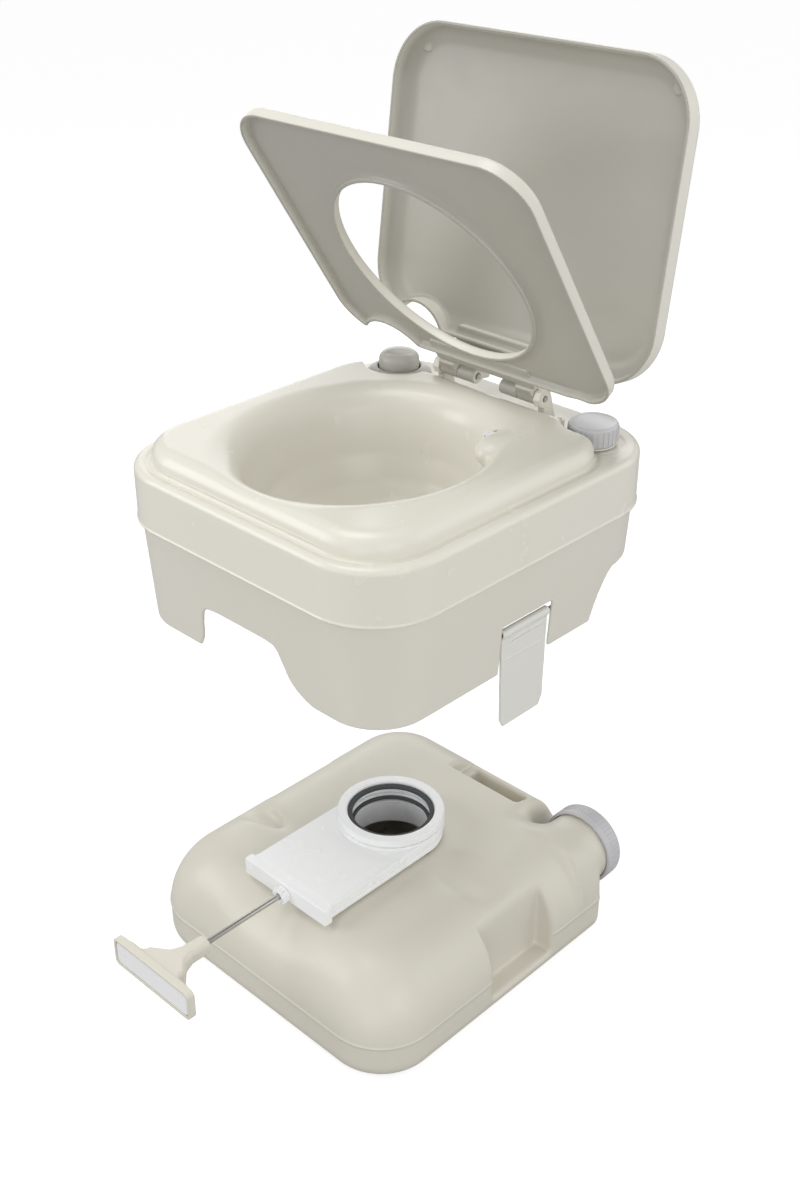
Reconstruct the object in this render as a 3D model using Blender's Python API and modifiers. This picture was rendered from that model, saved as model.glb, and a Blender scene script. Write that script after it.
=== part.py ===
"""Portable camp toilet: a flushing top section standing over its waste tank.

Metres, +Z up, -Y is the front. The waste tank stands on the ground at the origin and the top section is
lifted LEDGE_Z above it. Shapes of the top section are given from the ledge around its deck (z = 0 there).
"""
from math import cos, pi, radians, sin, sqrt

import bmesh
import bpy
from mathutils import Matrix, Vector

# ---- driving dimensions -------------------------------------------------------------------------------
GAP = 0.0003            # air left between pieces that touch
CORNER_STEPS = 8        # points round each corner of a moulding

# waste tank
TANK_HALF = (0.184, 0.201)
TANK_CORNER = 0.063
TANK_HEIGHT = 0.120
TANK_SHOULDER_Z = 0.046     # where the sides start to round in
TANK_SHOULDER_IN = 0.070    # how far the shoulder comes in
TANK_WALL = 0.003
LATCH_RECESS_Y = (-0.034, 0.061)
LATCH_RECESS_X = 0.160
CARRY_X = (-0.036, 0.064)
CARRY_STEP_Y = 0.138        # where the roof steps down to the carry handle
CARRY_SLOT_Y = (0.146, 0.172)
CARRY_TOP = 0.100
CARRY_BOTTOM = 0.078
SPOUT = (0.132, 0.074)      # x, z of the pour-out spout
SPOUT_RADIUS = 0.040
SPOUT_END_Y = 0.174
SPOUT_WALL_Y = 0.150

# gate valve, on the tank's top
BORE = 0.0437
RING_RADIUS = 0.0585
RING_TOP = 0.153
PLATE_HALF = 0.0575
PLATE_FRONT = -0.148
PLATE_TOP = 0.140
BLADE_Z = 0.1302
BLADE_THICK = 0.0024
BLADE_RADIUS = 0.049
BLADE_TRAVEL = 0.094
ROD_RADIUS = 0.003
HANDLE_Y = -0.328
HANDLE_HALF = (0.058, 0.0165)

# top section, from the ledge
LEDGE_Z = 0.580
BAND_HALF = (0.181, 0.202)
BAND_BOTTOM = -0.056
SKIRT_BOTTOM = -0.165
FLOOR_Z = -0.1035           # underside of the flush water's floor
PAD_TOP = 0.021
OUTLET_RADIUS = 0.0405
OUTLET_BOTTOM = -0.119
PUMP = (-0.118, 0.135)
FILLER = (0.128, 0.148)
HINGE = (0.145, 0.028)      # y, z of the seat and lid axis
SEAT_ANGLE = 57.0
LID_ANGLE = 97.5
LATCH_AXIS = (0.1690, -0.124)
LATCH_Y = (-0.028, 0.038)

for thing in list(bpy.data.objects):
    bpy.data.objects.remove(thing, do_unlink=True)
parts = bpy.data.collections.new("portable_camp_toilet")
cutters = bpy.data.collections.new("cutters")
bpy.context.scene.collection.children.link(parts)
bpy.context.scene.collection.children.link(cutters)
cutters.hide_render = True

FINISHES = {
    "deck_plastic": ((0.76, 0.73, 0.65), 0.38, 0.0),
    "skirt_plastic": ((0.66, 0.63, 0.56), 0.45, 0.0),
    "tank_plastic": ((0.60, 0.57, 0.49), 0.48, 0.0),
    "valve_white": ((0.88, 0.89, 0.89), 0.35, 0.0),
    "cap_grey": ((0.62, 0.62, 0.63), 0.40, 0.0),
    "rubber": ((0.07, 0.075, 0.08), 0.60, 0.0),
    "steel": ((0.62, 0.61, 0.58), 0.25, 1.0),
}


def finish(obj, name):
    """Gives a piece a material of its own in one of the finishes."""
    colour, roughness, metallic = FINISHES[name]
    material = bpy.data.materials.new(f"{obj.name}_{name}")
    material.use_nodes = True
    shader = material.node_tree.nodes["Principled BSDF"]
    shader.inputs["Base Color"].default_value = (*colour, 1.0)
    shader.inputs["Roughness"].default_value = roughness
    shader.inputs["Metallic"].default_value = metallic
    obj.data.materials.append(material)


def place(name, mesh_or_curve, look=None, at=(0.0, 0.0, 0.0)):
    """Links an object as a finished piece, or as a cutter when it has no finish."""
    obj = bpy.data.objects.new(name, mesh_or_curve)
    obj.location = at
    if look is None:
        cutters.objects.link(obj)
        obj.hide_render = True
        obj.display_type = "WIRE"
    else:
        parts.objects.link(obj)
        finish(obj, look)
    return obj


def mesh_from(name, points, faces):
    mesh = bpy.data.meshes.new(name)
    bm = bmesh.new()
    verts = [bm.verts.new(p) for p in points]
    for face in faces:
        bm.faces.new([verts[i] for i in face])
    bmesh.ops.recalc_face_normals(bm, faces=bm.faces)
    bm.to_mesh(mesh)
    bm.free()
    return mesh


def ring(half, corner, z, centre=(0.0, 0.0), steps=CORNER_STEPS):
    """A closed outline at height z: a rectangle with rounded corners, an oval or a circle."""
    rx, ry = corner if isinstance(corner, tuple) else (corner, corner)
    points = []
    for quarter, (sx, sy) in enumerate(((1, 1), (-1, 1), (-1, -1), (1, -1))):
        for i in range(steps):
            t = (quarter + (i + 0.5) / steps) * pi / 2
            x = centre[0] + sx * (half[0] - rx) + rx * cos(t)
            y = centre[1] + sy * (half[1] - ry) + ry * sin(t)
            points.append((x, y, z))
    return points


def oval(half, z, centre=(0.0, 0.0), steps=CORNER_STEPS):
    return ring(half, tuple(half), z, centre, steps)


def loft_mesh(name, rings, looped=False):
    """Skin over rings of equal count: closed by end faces, or by joining the last ring to the first."""
    n = len(rings[0])
    points = [p for r in rings for p in r]
    faces = []
    for k in range(len(rings) if looped else len(rings) - 1):
        a, b = k * n, (k + 1) % len(rings) * n
        for i in range(n):
            j = (i + 1) % n
            faces.append((a + i, a + j, b + j, b + i))
    if not looped:
        faces += [tuple(range(n)), tuple(range(len(points) - n, len(points)))]
    return mesh_from(name, points, faces)


def box(name, low, high, look=None, at=(0.0, 0.0, 0.0)):
    bm = bmesh.new()
    bmesh.ops.create_cube(bm, size=1.0)
    low, high = Vector(low), Vector(high)
    for v in bm.verts:
        v.co = Vector(a + (b - a) * (c + 0.5) for a, b, c in zip(low, high, v.co))
    mesh = bpy.data.meshes.new(name)
    bm.to_mesh(mesh)
    bm.free()
    return place(name, mesh, look, at)


def span(sign, near, far):
    """The lower and higher X of something between two distances from the middle, on one side."""
    return sorted((sign * near, sign * far))


def rod(name, radius, start, end, look=None, at=(0.0, 0.0, 0.0), steps=24):
    """A straight round bar between two points."""
    start, end = Vector(start), Vector(end)
    bm = bmesh.new()
    turn = (end - start).to_track_quat("Z", "Y").to_matrix().to_4x4()
    matrix = Matrix.Translation((start + end) / 2) @ turn
    depth = (end - start).length
    bmesh.ops.create_cone(bm, cap_ends=True, segments=steps, radius1=radius, radius2=radius,
                          depth=depth, matrix=matrix)
    mesh = bpy.data.meshes.new(name)
    bm.to_mesh(mesh)
    bm.free()
    return place(name, mesh, look, at)


def turned(name, profile, look, at=(0.0, 0.0, 0.0), turn=(0.0, 0.0, 0.0), steps=32, closed=False):
    """A piece turned on Z from (radius, height) pairs that run down its outer side."""
    count = len(profile)
    edges = [(i, i + 1) for i in range(count - 1)] + ([(count - 1, 0)] if closed else [])
    mesh = bpy.data.meshes.new(name)
    mesh.from_pydata([(r, 0.0, z) for r, z in profile], edges, [])
    obj = place(name, mesh, look, at)
    obj.rotation_euler = turn
    screw = obj.modifiers.new("turn", "SCREW")
    screw.steps = screw.render_steps = steps
    screw.use_merge_vertices = True
    screw.merge_threshold = 0.00002
    return obj


def washer(name, inner, outer, low, high, look, at=(0.0, 0.0, 0.0), turn=(0.0, 0.0, 0.0), steps=28):
    """A flat ring."""
    profile = [(inner, high), (outer, high), (outer, low), (inner, low)]
    return turned(name, profile, look, at, turn, steps, closed=True)


def lip_seal(name, inner, outer, low, high):
    """A rubber ring with a rounded lip towards the bore."""
    middle, edge = (low + high) / 2, (high - low) / 3
    profile = [(inner + edge, high), (outer, high), (outer, low), (inner + edge, low), (inner, middle)]
    return turned(name, profile, "rubber", steps=36, closed=True)


def prism(name, outline, low, high, axis="Y", look=None, at=(0.0, 0.0, 0.0)):
    """An outline pushed along an axis. The outline is (x, z) for Y, (y, z) for X and (x, y) for Z."""
    def put(u, v, w):
        return {"Y": (u, w, v), "X": (w, u, v), "Z": (u, v, w)}[axis]
    n = len(outline)
    points = [put(u, v, low) for u, v in outline] + [put(u, v, high) for u, v in outline]
    faces = [tuple(range(n)), tuple(range(n, 2 * n))]
    faces += [(i, (i + 1) % n, n + (i + 1) % n, n + i) for i in range(n)]
    return place(name, mesh_from(name, points, faces), look, at)


def combine(target, others, how="DIFFERENCE"):
    """Cuts other shapes from a piece, or joins them to it. They then follow the piece."""
    for other in others:
        step = target.modifiers.new(f"{how.lower()}_{other.name}", "BOOLEAN")
        step.operation = how
        step.solver = "EXACT"
        step.object = other
        other.parent = target
        other.location -= target.location


def tank_rings(wall):
    """The waste tank's outline from the ground up, set in by the wall's thickness."""
    def level(inset, z):
        corner = max(TANK_CORNER - 0.6 * inset, 0.02)
        half = (TANK_HALF[0] - inset - wall, TANK_HALF[1] - inset - wall)
        return ring(half, corner - wall / 2, z)
    rings = [level(0.012, wall), level(0.004, 0.004 + wall), level(0.0, 0.014)]
    if not wall:
        bead = 0.0012
        rings += [level(0.0, 0.0420), level(-bead, 0.0430), level(-bead, 0.0450)]
    rise = TANK_HEIGHT - wall - TANK_SHOULDER_Z
    for t in (0.0, 0.22, 0.42, 0.60, 0.75, 0.87, 0.95, 1.0):
        rings.append(level(TANK_SHOULDER_IN * (1 - sqrt(1 - t * t)), TANK_SHOULDER_Z + rise * t))
    return rings


def tank_cuts(prefix, grow):
    """Every hollow moulded into the tank's outside. grow makes the same shapes for its inside."""
    made = []
    for side, sign in (("left", -1), ("right", 1)):
        x = span(sign, LATCH_RECESS_X - grow, 0.25)
        made.append(box(f"{prefix}_{side}_latch_recess", (x[0], LATCH_RECESS_Y[0] - grow, 0.020 - grow),
                        (x[1], LATCH_RECESS_Y[1] + grow, 0.25)))
    made.append(box(f"{prefix}_spout_corner", (0.080 - grow, SPOUT_WALL_Y - grow, -0.1), (0.3, 0.3, 0.3)))
    slope = [(0.118 - grow, 0.3), (0.118 - grow, 0.121 - grow), (0.16, 0.082 - grow), (0.3, 0.082), (0.3, 0.3)]
    made.append(prism(f"{prefix}_spout_slope", slope, 0.084 - grow, 0.3, "X"))
    return made


def round_plate(half, front, low, high, name, look=None, nose=None):
    """A flat plate running back from `front` to a half-round end about the bore."""
    nose = nose or half
    outline = [(-half, front), (half, front)]
    outline += [(nose * cos(t), nose * sin(t)) for t in (pi * i / 20 for i in range(21))]
    return prism(name, outline, low, high, "Z", look)


# ---- waste tank --------------------------------------------------------------------------------------
tank = place("waste_tank", loft_mesh("waste_tank", tank_rings(0.0)), "tank_plastic")
inside = place("tank_inside", loft_mesh("tank_inside", tank_rings(TANK_WALL)))
combine(inside, tank_cuts("inside", TANK_WALL))
combine(inside, [box("handle_solid", (CARRY_X[0] - 0.006, CARRY_STEP_Y - TANK_WALL, -0.1),
                     (CARRY_X[1] + 0.006, 0.3, 0.3))])
combine(tank, tank_cuts("outside", 0.0))
combine(tank, [box("carry_step", (CARRY_X[0], CARRY_STEP_Y, CARRY_TOP), (CARRY_X[1], 0.3, 0.3))])
combine(tank, [rod("spout_outside", SPOUT_RADIUS, (SPOUT[0], 0.090, SPOUT[1]),
                   (SPOUT[0], SPOUT_END_Y, SPOUT[1]), steps=36)], "UNION")
combine(tank, [inside])
combine(tank, [
    rod("spout_bore", SPOUT_RADIUS - 0.004, (SPOUT[0], 0.080, SPOUT[1]), (SPOUT[0], 0.2, SPOUT[1]), steps=36),
    rod("valve_opening", 0.0492, (0.0, 0.0, 0.10), (0.0, 0.0, 0.15), steps=40),
    box("carry_slot", (CARRY_X[0] + 0.012, CARRY_SLOT_Y[0], -0.1), (CARRY_X[1] - 0.012, CARRY_SLOT_Y[1], 0.3)),
    box("carry_finger_room", (CARRY_X[0] + 0.012, CARRY_SLOT_Y[0] + 0.002, 0.020),
        (CARRY_X[1] - 0.012, 0.3, CARRY_BOTTOM)),
])

# ---- gate valve --------------------------------------------------------------------------------------
BASE_LOW, BASE_HIGH = 0.1224, 0.1284
washer("valve_gasket", 0.0496, 0.0560, TANK_HEIGHT + GAP, BASE_LOW - GAP, "rubber")
base = round_plate(PLATE_HALF, PLATE_FRONT + 0.0010, BASE_LOW, BASE_HIGH, "valve_base", "valve_white")
combine(base, [rod("base_collar", 0.0485, (0, 0, 0.100), (0, 0, BASE_HIGH - 0.001), steps=40)], "UNION")
rod_channel = ((-0.0040, -0.2, BLADE_Z - 0.0038), (0.0040, -0.047, BLADE_Z + 0.0038))
combine(base, [rod("base_bore", BORE, (0, 0, 0.09), (0, 0, 0.2), steps=40), box("base_rod_channel", *rod_channel)])
washer("valve_lock_ring", 0.0490, 0.0570, 0.1060, TANK_HEIGHT - TANK_WALL - GAP, "valve_white")

top = round_plate(PLATE_HALF, PLATE_FRONT, BASE_HIGH + GAP, PLATE_TOP, "valve_top", "valve_white")
channel_half = BLADE_RADIUS + 0.0008
combine(top, [
    rod("ring_outside", RING_RADIUS, (0, 0, 0.134), (0, 0, RING_TOP), steps=40),
    box("valve_flange", (-0.0615, -0.158, 0.1215), (0.0615, PLATE_FRONT + 0.0006, 0.1415)),
], "UNION")
combine(top, [
    round_plate(channel_half, -0.1475, 0.12, BLADE_Z + BLADE_THICK / 2 + 0.0006, "blade_channel"),
    rod("ring_inside", 0.0476, (0, 0, 0.1385), (0, 0, 0.2), steps=40),
    rod("top_bore", BORE, (0, 0, 0.09), (0, 0, 0.2), steps=40),
    box("top_rod_channel", *rod_channel),
])
lip_seal("upper_lip_seal", 0.0420, 0.0471, 0.1452, 0.1500)
lip_seal("lower_lip_seal", 0.0400, 0.0432, 0.1330, 0.1368)

blade = round_plate(BLADE_RADIUS, -0.0525, -BLADE_THICK / 2, BLADE_THICK / 2, "valve_blade", "valve_white")
blade.location = (0.0, -BLADE_TRAVEL, BLADE_Z)
guide_turn = (pi / 2, 0.0, 0.0)
washer("rod_guide", ROD_RADIUS + 0.0005, 0.0095, 0.0, 0.008, "valve_white", (0, -0.1583, BLADE_Z), guide_turn, 20)
rod("valve_rod", ROD_RADIUS, (0, -0.1468, 0), (0, -0.2740, 0), "steel", (0, 0, BLADE_Z), 16)

flare = [(0.0090, 0.0085, -0.2625), (0.0090, 0.0085, -0.2860), (0.0130, 0.0095, -0.2980),
         (0.0260, 0.0115, -0.3090), (0.0420, 0.0135, -0.3170), (HANDLE_HALF[0] - 0.003, 0.0145, -0.3245)]
neck_rings = []
for half_x, half_z, y in flare:
    flat = ring((half_x, half_z), min(half_x, half_z) * 0.7, 0.0, steps=5)
    neck_rings.append([(x, y, z) for x, z, _ in flat])
handle = place("valve_handle", loft_mesh("valve_handle", neck_rings), "tank_plastic", (0, 0, BLADE_Z))
panel = ring(HANDLE_HALF, 0.006, 0.0, steps=5)
face = place("handle_face", loft_mesh("handle_face", [[(x, y, z) for x, z, _ in panel]
                                                      for y in (-0.3235, HANDLE_Y - 0.003)]),
             at=(0, 0, BLADE_Z))
combine(handle, [face], "UNION")
well = ring((HANDLE_HALF[0] - 0.0035, HANDLE_HALF[1] - 0.0035), 0.004, 0.0, steps=5)
combine(handle, [
    place("label_well", loft_mesh("label_well", [[(x, y, z) for x, z, _ in well]
                                                 for y in (HANDLE_Y - 0.0005, -0.34)]), at=(0, 0, BLADE_Z)),
    rod("rod_socket", ROD_RADIUS + GAP, (0, -0.26, 0), (0, -0.2745, 0), at=(0, 0, BLADE_Z), steps=16),
])
label = ring((HANDLE_HALF[0] - 0.0040, HANDLE_HALF[1] - 0.0040), 0.0036, 0.0, steps=5)
place("handle_panel", loft_mesh("handle_panel", [[(x, y, z) for x, z, _ in label]
                                                 for y in (HANDLE_Y - 0.0008, HANDLE_Y - 0.0024)]),
      "valve_white", (0, 0, BLADE_Z))

# ---- pour-out spout's cap -----------------------------------------------------------------------------
back_turn = (-pi / 2, 0.0, 0.0)
cap_at = (SPOUT[0], SPOUT_END_Y, SPOUT[1])
washer("spout_cap_gasket", 0.0330, 0.0405, GAP, 0.0024, "rubber", cap_at, back_turn)
turned("spout_cap", [(0.0, 0.0185), (0.030, 0.0185), (0.0415, 0.0172), (0.0440, 0.0140), (0.0440, -0.0060),
                     (0.0407, -0.0060), (0.0407, 0.0027), (0.0, 0.0027)],
       "cap_grey", cap_at, back_turn, 32)

# ---- deck with its bowl ------------------------------------------------------------------------------
LIFTED = (0.0, 0.0, LEDGE_Z)
pad_centre = (0.0, -0.022)
bowl_centre = (0.0, -0.032)
BOWL = [  # half width, half depth, centre y, z down the inside of the bowl
    (0.1170, 0.1330, -0.032, 0.0180), (0.1105, 0.1270, -0.032, 0.0080), (0.1035, 0.1185, -0.030, -0.0150),
    (0.0945, 0.1060, -0.025, -0.0420), (0.0800, 0.0860, -0.016, -0.0660), (0.0610, 0.0630, -0.007, -0.0820),
]


def deck_rings():
    """The deck's skin: out over the band, in over the pad, down the bowl, then back up beneath it all."""
    bx, by = BAND_HALF
    out = [ring((bx, by), 0.0725, BAND_BOTTOM), ring((bx, by), 0.0725, -0.012),
           ring((bx - 0.0012, by - 0.0012), 0.0715, -0.0045), ring((bx - 0.0050, by - 0.0050), 0.068, 0.0),
           ring((bx - 0.0150, by - 0.0120), 0.0620, 0.0)]
    for half_x, half_y, corner, z in ((0.1640, 0.1650, 0.0600, 0.0), (0.1630, 0.1640, 0.0592, 0.0015),
                                      (0.1615, 0.1625, 0.0580, 0.0070),
                                      (0.1570, 0.1580, 0.0540, 0.0160), (0.1500, 0.1510, 0.0480, 0.0203),
                                      (0.1420, 0.1430, 0.0440, PAD_TOP)):
        out.append(ring((half_x, half_y), corner, z, pad_centre))
    out.append(oval((0.1240, 0.1395), PAD_TOP, bowl_centre))
    out += [oval((hx, hy), z, (0.0, cy)) for hx, hy, cy, z in BOWL]
    bore = OUTLET_RADIUS - 0.004
    out += [oval((0.0430, 0.0430), -0.0900), oval((bore, bore), -0.0935), oval((bore, bore), OUTLET_BOTTOM)]
    back = [oval((OUTLET_RADIUS, OUTLET_RADIUS), OUTLET_BOTTOM), oval((OUTLET_RADIUS, OUTLET_RADIUS), -0.0962),
            oval((0.0450, 0.0450), -0.0945)]
    back += [oval((hx + 0.003, hy + 0.003), z - 0.0022, (0.0, cy)) for hx, hy, cy, z in reversed(BOWL)]
    for half_x, half_y, corner, z in ((0.1460, 0.1470, 0.0440, 0.0172), (0.1540, 0.1550, 0.0510, 0.0130),
                                      (0.1585, 0.1595, 0.0550, 0.0050), (0.1602, 0.1612, 0.0570, -0.0030)):
        back.append(ring((half_x, half_y), corner, z, pad_centre))
    back += [ring((bx - 0.0080, by - 0.0080), 0.0650, -0.0030), ring((bx - 0.0036, by - 0.0036), 0.0692, -0.0080),
             ring((bx - 0.0032, by - 0.0032), 0.0695, BAND_BOTTOM)]
    return out + back


deck = place("bowl_deck", loft_mesh("bowl_deck", deck_rings(), looped=True), "deck_plastic", LIFTED)
pad_core = [ring((0.1615, 0.1625), 0.058, -0.0022, pad_centre), ring((0.1598, 0.1608), 0.0565, 0.0060, pad_centre),
            ring((0.1552, 0.1562), 0.0525, 0.0148, pad_centre), ring((0.1480, 0.1490), 0.0460, 0.0190, pad_centre)]
for name, (x, y), pocket in (("pump", PUMP, 0.0370), ("filler", FILLER, 0.0300)):
    wall = rod(f"{name}_pocket_wall", pocket + 0.003, (x, y, -0.03), (x, y, 0.05), at=LIFTED, steps=32)
    combine(wall, [place(f"{name}_pad_core", loft_mesh(f"{name}_pad_core", pad_core), at=LIFTED)], "INTERSECT")
    combine(deck, [wall], "UNION")
    combine(deck, [rod(f"{name}_pocket", pocket, (x, y, 0.0), (x, y, 0.05), at=LIFTED, steps=32)])
combine(deck, [rod("pump_hole", 0.0205, (*PUMP, -0.01), (*PUMP, 0.01), at=LIFTED, steps=28),
               rod("filler_hole", 0.0190, (*FILLER, -0.01), (*FILLER, 0.01), at=LIFTED, steps=28)])
jet_wall = Vector((0.0600, 0.0747, 0.0060))     # where the flush jet meets the bowl's wall
jet_way = Vector((0.596, 0.803, 0.0)).normalized()
combine(deck, [rod("nozzle_hole", 0.0062, jet_wall - 0.012 * jet_way, jet_wall + 0.012 * jet_way, at=LIFTED,
                   steps=16)])

# ---- skirt -------------------------------------------------------------------------------------------
skirt_rings = [
    ring((0.1772, 0.1982), 0.0690, -0.046), ring((0.1772, 0.1982), 0.0690, BAND_BOTTOM - GAP),
    ring((0.1765, 0.1975), 0.0680, -0.0600), ring((0.1715, 0.1885), 0.0580, -0.1500),
    ring((0.1708, 0.1878), 0.0565, -0.1610), ring((0.1693, 0.1863), 0.0550, SKIRT_BOTTOM),
    ring((0.1677, 0.1847), 0.0525, SKIRT_BOTTOM), ring((0.1705, 0.1890), 0.0580, FLOOR_Z),
    oval((0.0425, 0.0425), FLOOR_Z), oval((0.0425, 0.0425), FLOOR_Z + 0.003),
    ring((0.1707, 0.1895), 0.0585, FLOOR_Z + 0.003), ring((0.1742, 0.1952), 0.0660, -0.046),
]
skirt = place("skirt", loft_mesh("skirt", skirt_rings, looped=True), "skirt_plastic", LIFTED)
arch = [(-0.078, -0.20), (-0.070, -0.165), (-0.063, -0.155), (-0.060, -0.130), (-0.056, -0.120), (-0.047, -0.115),
        (0.036, -0.115), (0.045, -0.119), (0.050, -0.130), (0.058, -0.148), (0.072, -0.160), (0.094, -0.167),
        (0.094, -0.20)]
spout_side = [(0.100, -0.20), (0.104, -0.165), (0.112, -0.143), (0.124, -0.120), (0.137, -0.110), (0.3, -0.110),
              (0.3, -0.20)]
bosses = []
for side, sign in (("left", -1), ("right", 1)):
    for end, y in (("front", -0.0400), ("rear", 0.0600)):
        x = span(sign, 0.1600, 0.1718)
        bosses.append(box(f"{side}_{end}_latch_boss", (x[0], y, -0.1300), (x[1], y + 0.0090, -0.1165), at=LIFTED))
combine(skirt, bosses, "UNION")
combine(skirt, [prism("front_arch", arch, -0.3, -0.1, at=LIFTED),
                prism("spout_side_cut", spout_side, 0.078, 0.3, "X", at=LIFTED)])
for side, sign in (("left", -1), ("right", 1)):
    x = span(sign, 0.150, 0.2)
    axis_x = sign * LATCH_AXIS[0]
    combine(skirt, [
        box(f"{side}_latch_cutout", (x[0], -0.031, -0.2), (x[1], 0.060, -0.1135), at=LIFTED),
        rod(f"{side}_latch_pin_hole", 0.0023, (axis_x, -0.0365, LATCH_AXIS[1]), (axis_x, 0.0655, LATCH_AXIS[1]),
            at=LIFTED, steps=12),
    ])
washer("outlet_seal", OUTLET_RADIUS + GAP, 0.0485, FLOOR_Z + 0.003 + GAP, -0.0966, "rubber", LIFTED)

# ---- latches -----------------------------------------------------------------------------------------
for side, sign in (("left", -1), ("right", 1)):
    axis = (sign * LATCH_AXIS[0], 0.0, LEDGE_Z + LATCH_AXIS[1])
    rod(f"{side}_latch_pin", 0.0020, (0, -0.0362, 0), (0, 0.0652, 0), "steel", axis, 12)
    outline = [(LATCH_Y[0], 0.0), (LATCH_Y[0] + 0.003, -0.096), (LATCH_Y[0] + 0.007, -0.1035),
               (LATCH_Y[1] - 0.007, -0.1035), (LATCH_Y[1] - 0.002, -0.094), (LATCH_Y[1], 0.0)]
    thick = span(sign, -0.0014, 0.0012)
    flap = prism(f"{side}_latch", outline, *thick, "X", "cap_grey", axis)
    hook = span(sign, -0.0065, 0.0002)
    rib = span(sign, 0.0002, 0.0032)
    combine(flap, [
        rod(f"{side}_latch_barrel", 0.0045, (0, LATCH_Y[0] + 0.0002, 0), (0, LATCH_Y[1] - 0.0002, 0), at=axis, steps=20),
        box(f"{side}_latch_hook", (hook[0], LATCH_Y[0] + 0.012, -0.1000), (hook[1], LATCH_Y[1] - 0.012, -0.0960),
            at=axis),
        box(f"{side}_latch_rib", (rib[0], LATCH_Y[0] + 0.014, -0.0125), (rib[1], LATCH_Y[1] - 0.010, -0.0105),
            at=axis),
    ], "UNION")
    combine(flap, [rod(f"{side}_latch_bore", 0.0024, (0, -0.05, 0), (0, 0.06, 0), at=axis, steps=12)])

# ---- flush pump --------------------------------------------------------------------------------------
px, py = PUMP
pump_at = (px, py, LEDGE_Z)
turned("pump_collar", [(0.0225, 0.0080), (0.0250, 0.0085), (0.0320, 0.0060), (0.0340, 0.0030), (0.0340, GAP),
                       (0.0200, GAP), (0.0200, -0.0200), (0.0180, -0.0200), (0.0180, 0.0000), (0.0210, 0.0030)],
       "cap_grey", pump_at, steps=28, closed=True)
turned("pump_knob", [(0.0, 0.0330), (0.010, 0.0325), (0.0170, 0.0300), (0.0205, 0.0250), (0.0215, 0.0200),
                     (0.0215, 0.0175), (0.0, 0.0175)], "deck_plastic", pump_at, steps=32)
bellows = [(0.0, 0.0172)]
for fold in range(3):
    z = 0.0172 - fold * 0.0045
    bellows += [(0.0150, z), (0.0185, z - 0.0022)]
bellows += [(0.0150, 0.0037), (0.0150, 0.0020), (0.0, 0.0020)]
turned("pump_bellows", bellows, "rubber", pump_at, steps=24)
rod("pump_cylinder", 0.0140, (0, 0, 0.0015), (0, 0, -0.0700), "valve_white", pump_at, 24)
rod("pickup_tube", 0.0045, (0, 0, -0.0703), (0, 0, -0.0960), "valve_white", pump_at, 16)

# ---- flush jet ---------------------------------------------------------------------------------------
jet_turn = jet_way.to_track_quat("Z", "Y").to_euler()
jet_end = jet_wall + 0.020 * jet_way
turned("flush_nozzle", [(0.0028, 0.0240), (0.0045, 0.0240), (0.0058, 0.0210), (0.0058, 0.0), (0.0035, 0.0)],
       "valve_white", Vector(LIFTED) + jet_wall - 0.004 * jet_way, jet_turn, 16, closed=True)
hose_line = [jet_end + 0.0015 * jet_way, jet_end + 0.010 * jet_way, (0.058, 0.124, -0.008), (0.000, 0.132, -0.014),
             (-0.060, 0.135, -0.028), (PUMP[0] + 0.0158, PUMP[1], -0.030)]
hose_curve = bpy.data.curves.new("flush_hose", "CURVE")
hose_curve.dimensions = "3D"
hose_curve.resolution_u = 4
hose_curve.bevel_depth = 0.0040
hose_curve.bevel_resolution = 2
hose_curve.use_fill_caps = True
path = hose_curve.splines.new("BEZIER")
path.bezier_points.add(len(hose_line) - 1)
for point, where in zip(path.bezier_points, hose_line):
    point.co = where
    point.handle_left_type = point.handle_right_type = "AUTO"
place("flush_hose", hose_curve, "rubber", LIFTED)

# ---- filler ------------------------------------------------------------------------------------------
fx, fy = FILLER
filler_at = (fx, fy, LEDGE_Z)
turned("filler_neck", [(0.0155, 0.0110), (0.0185, 0.0110), (0.0185, 0.0020), (0.0235, 0.0020), (0.0235, GAP),
                       (0.0185, GAP), (0.0185, -0.0120), (0.0155, -0.0120)],
       "deck_plastic", filler_at, steps=24, closed=True)
washer("filler_cap_gasket", 0.0140, 0.0205, 0.0113, 0.0127, "rubber", filler_at, steps=28)
turned("filler_cap", [(0.0, 0.0215), (0.0215, 0.0215), (0.0240, 0.0200), (0.0245, 0.0180), (0.0245, 0.0025),
                      (0.0190, 0.0025), (0.0190, 0.0108), (0.0208, 0.0108), (0.0208, 0.0130), (0.0, 0.0130)],
       "cap_grey", filler_at, steps=30)

# ---- seat and lid, drawn closed about their shared axis and then raised --------------------------------
HINGE_AT = (0.0, HINGE[0], LEDGE_Z + HINGE[1])
SEAT_HALF = (0.174, 0.147)
SEAT_CENTRE = (0.0, -0.175)
HOLE_CENTRE = (0.0, -0.157)
SEAT_TOP = 0.0065
SEAT_RIM = -0.0067
LID_HALF = (0.178, 0.149)
LID_CENTRE = (0.0, -0.177)
LID_RIM = 0.0075
BOSS_AT = (0.150, -0.300)     # x, y of the round bosses inside the lid's front corners
BARREL = 0.0080
TONGUE_X = 0.0640
TONGUE_END = -0.0135
SEAT_BARREL_X = (0.0400, 0.0615)
LID_BARREL_X = (0.0170, 0.0390)
EAR_X = (0.0625, 0.0705)
PIN_X = (0.0155, 0.0712)
BRACKET_END_X = 0.0808
BRACKET_SCREW_X = 0.0757


def inset_ring(half, centre, inset, corner, z):
    return ring((half[0] - inset, half[1] - inset), corner - inset, z, centre)


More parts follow.
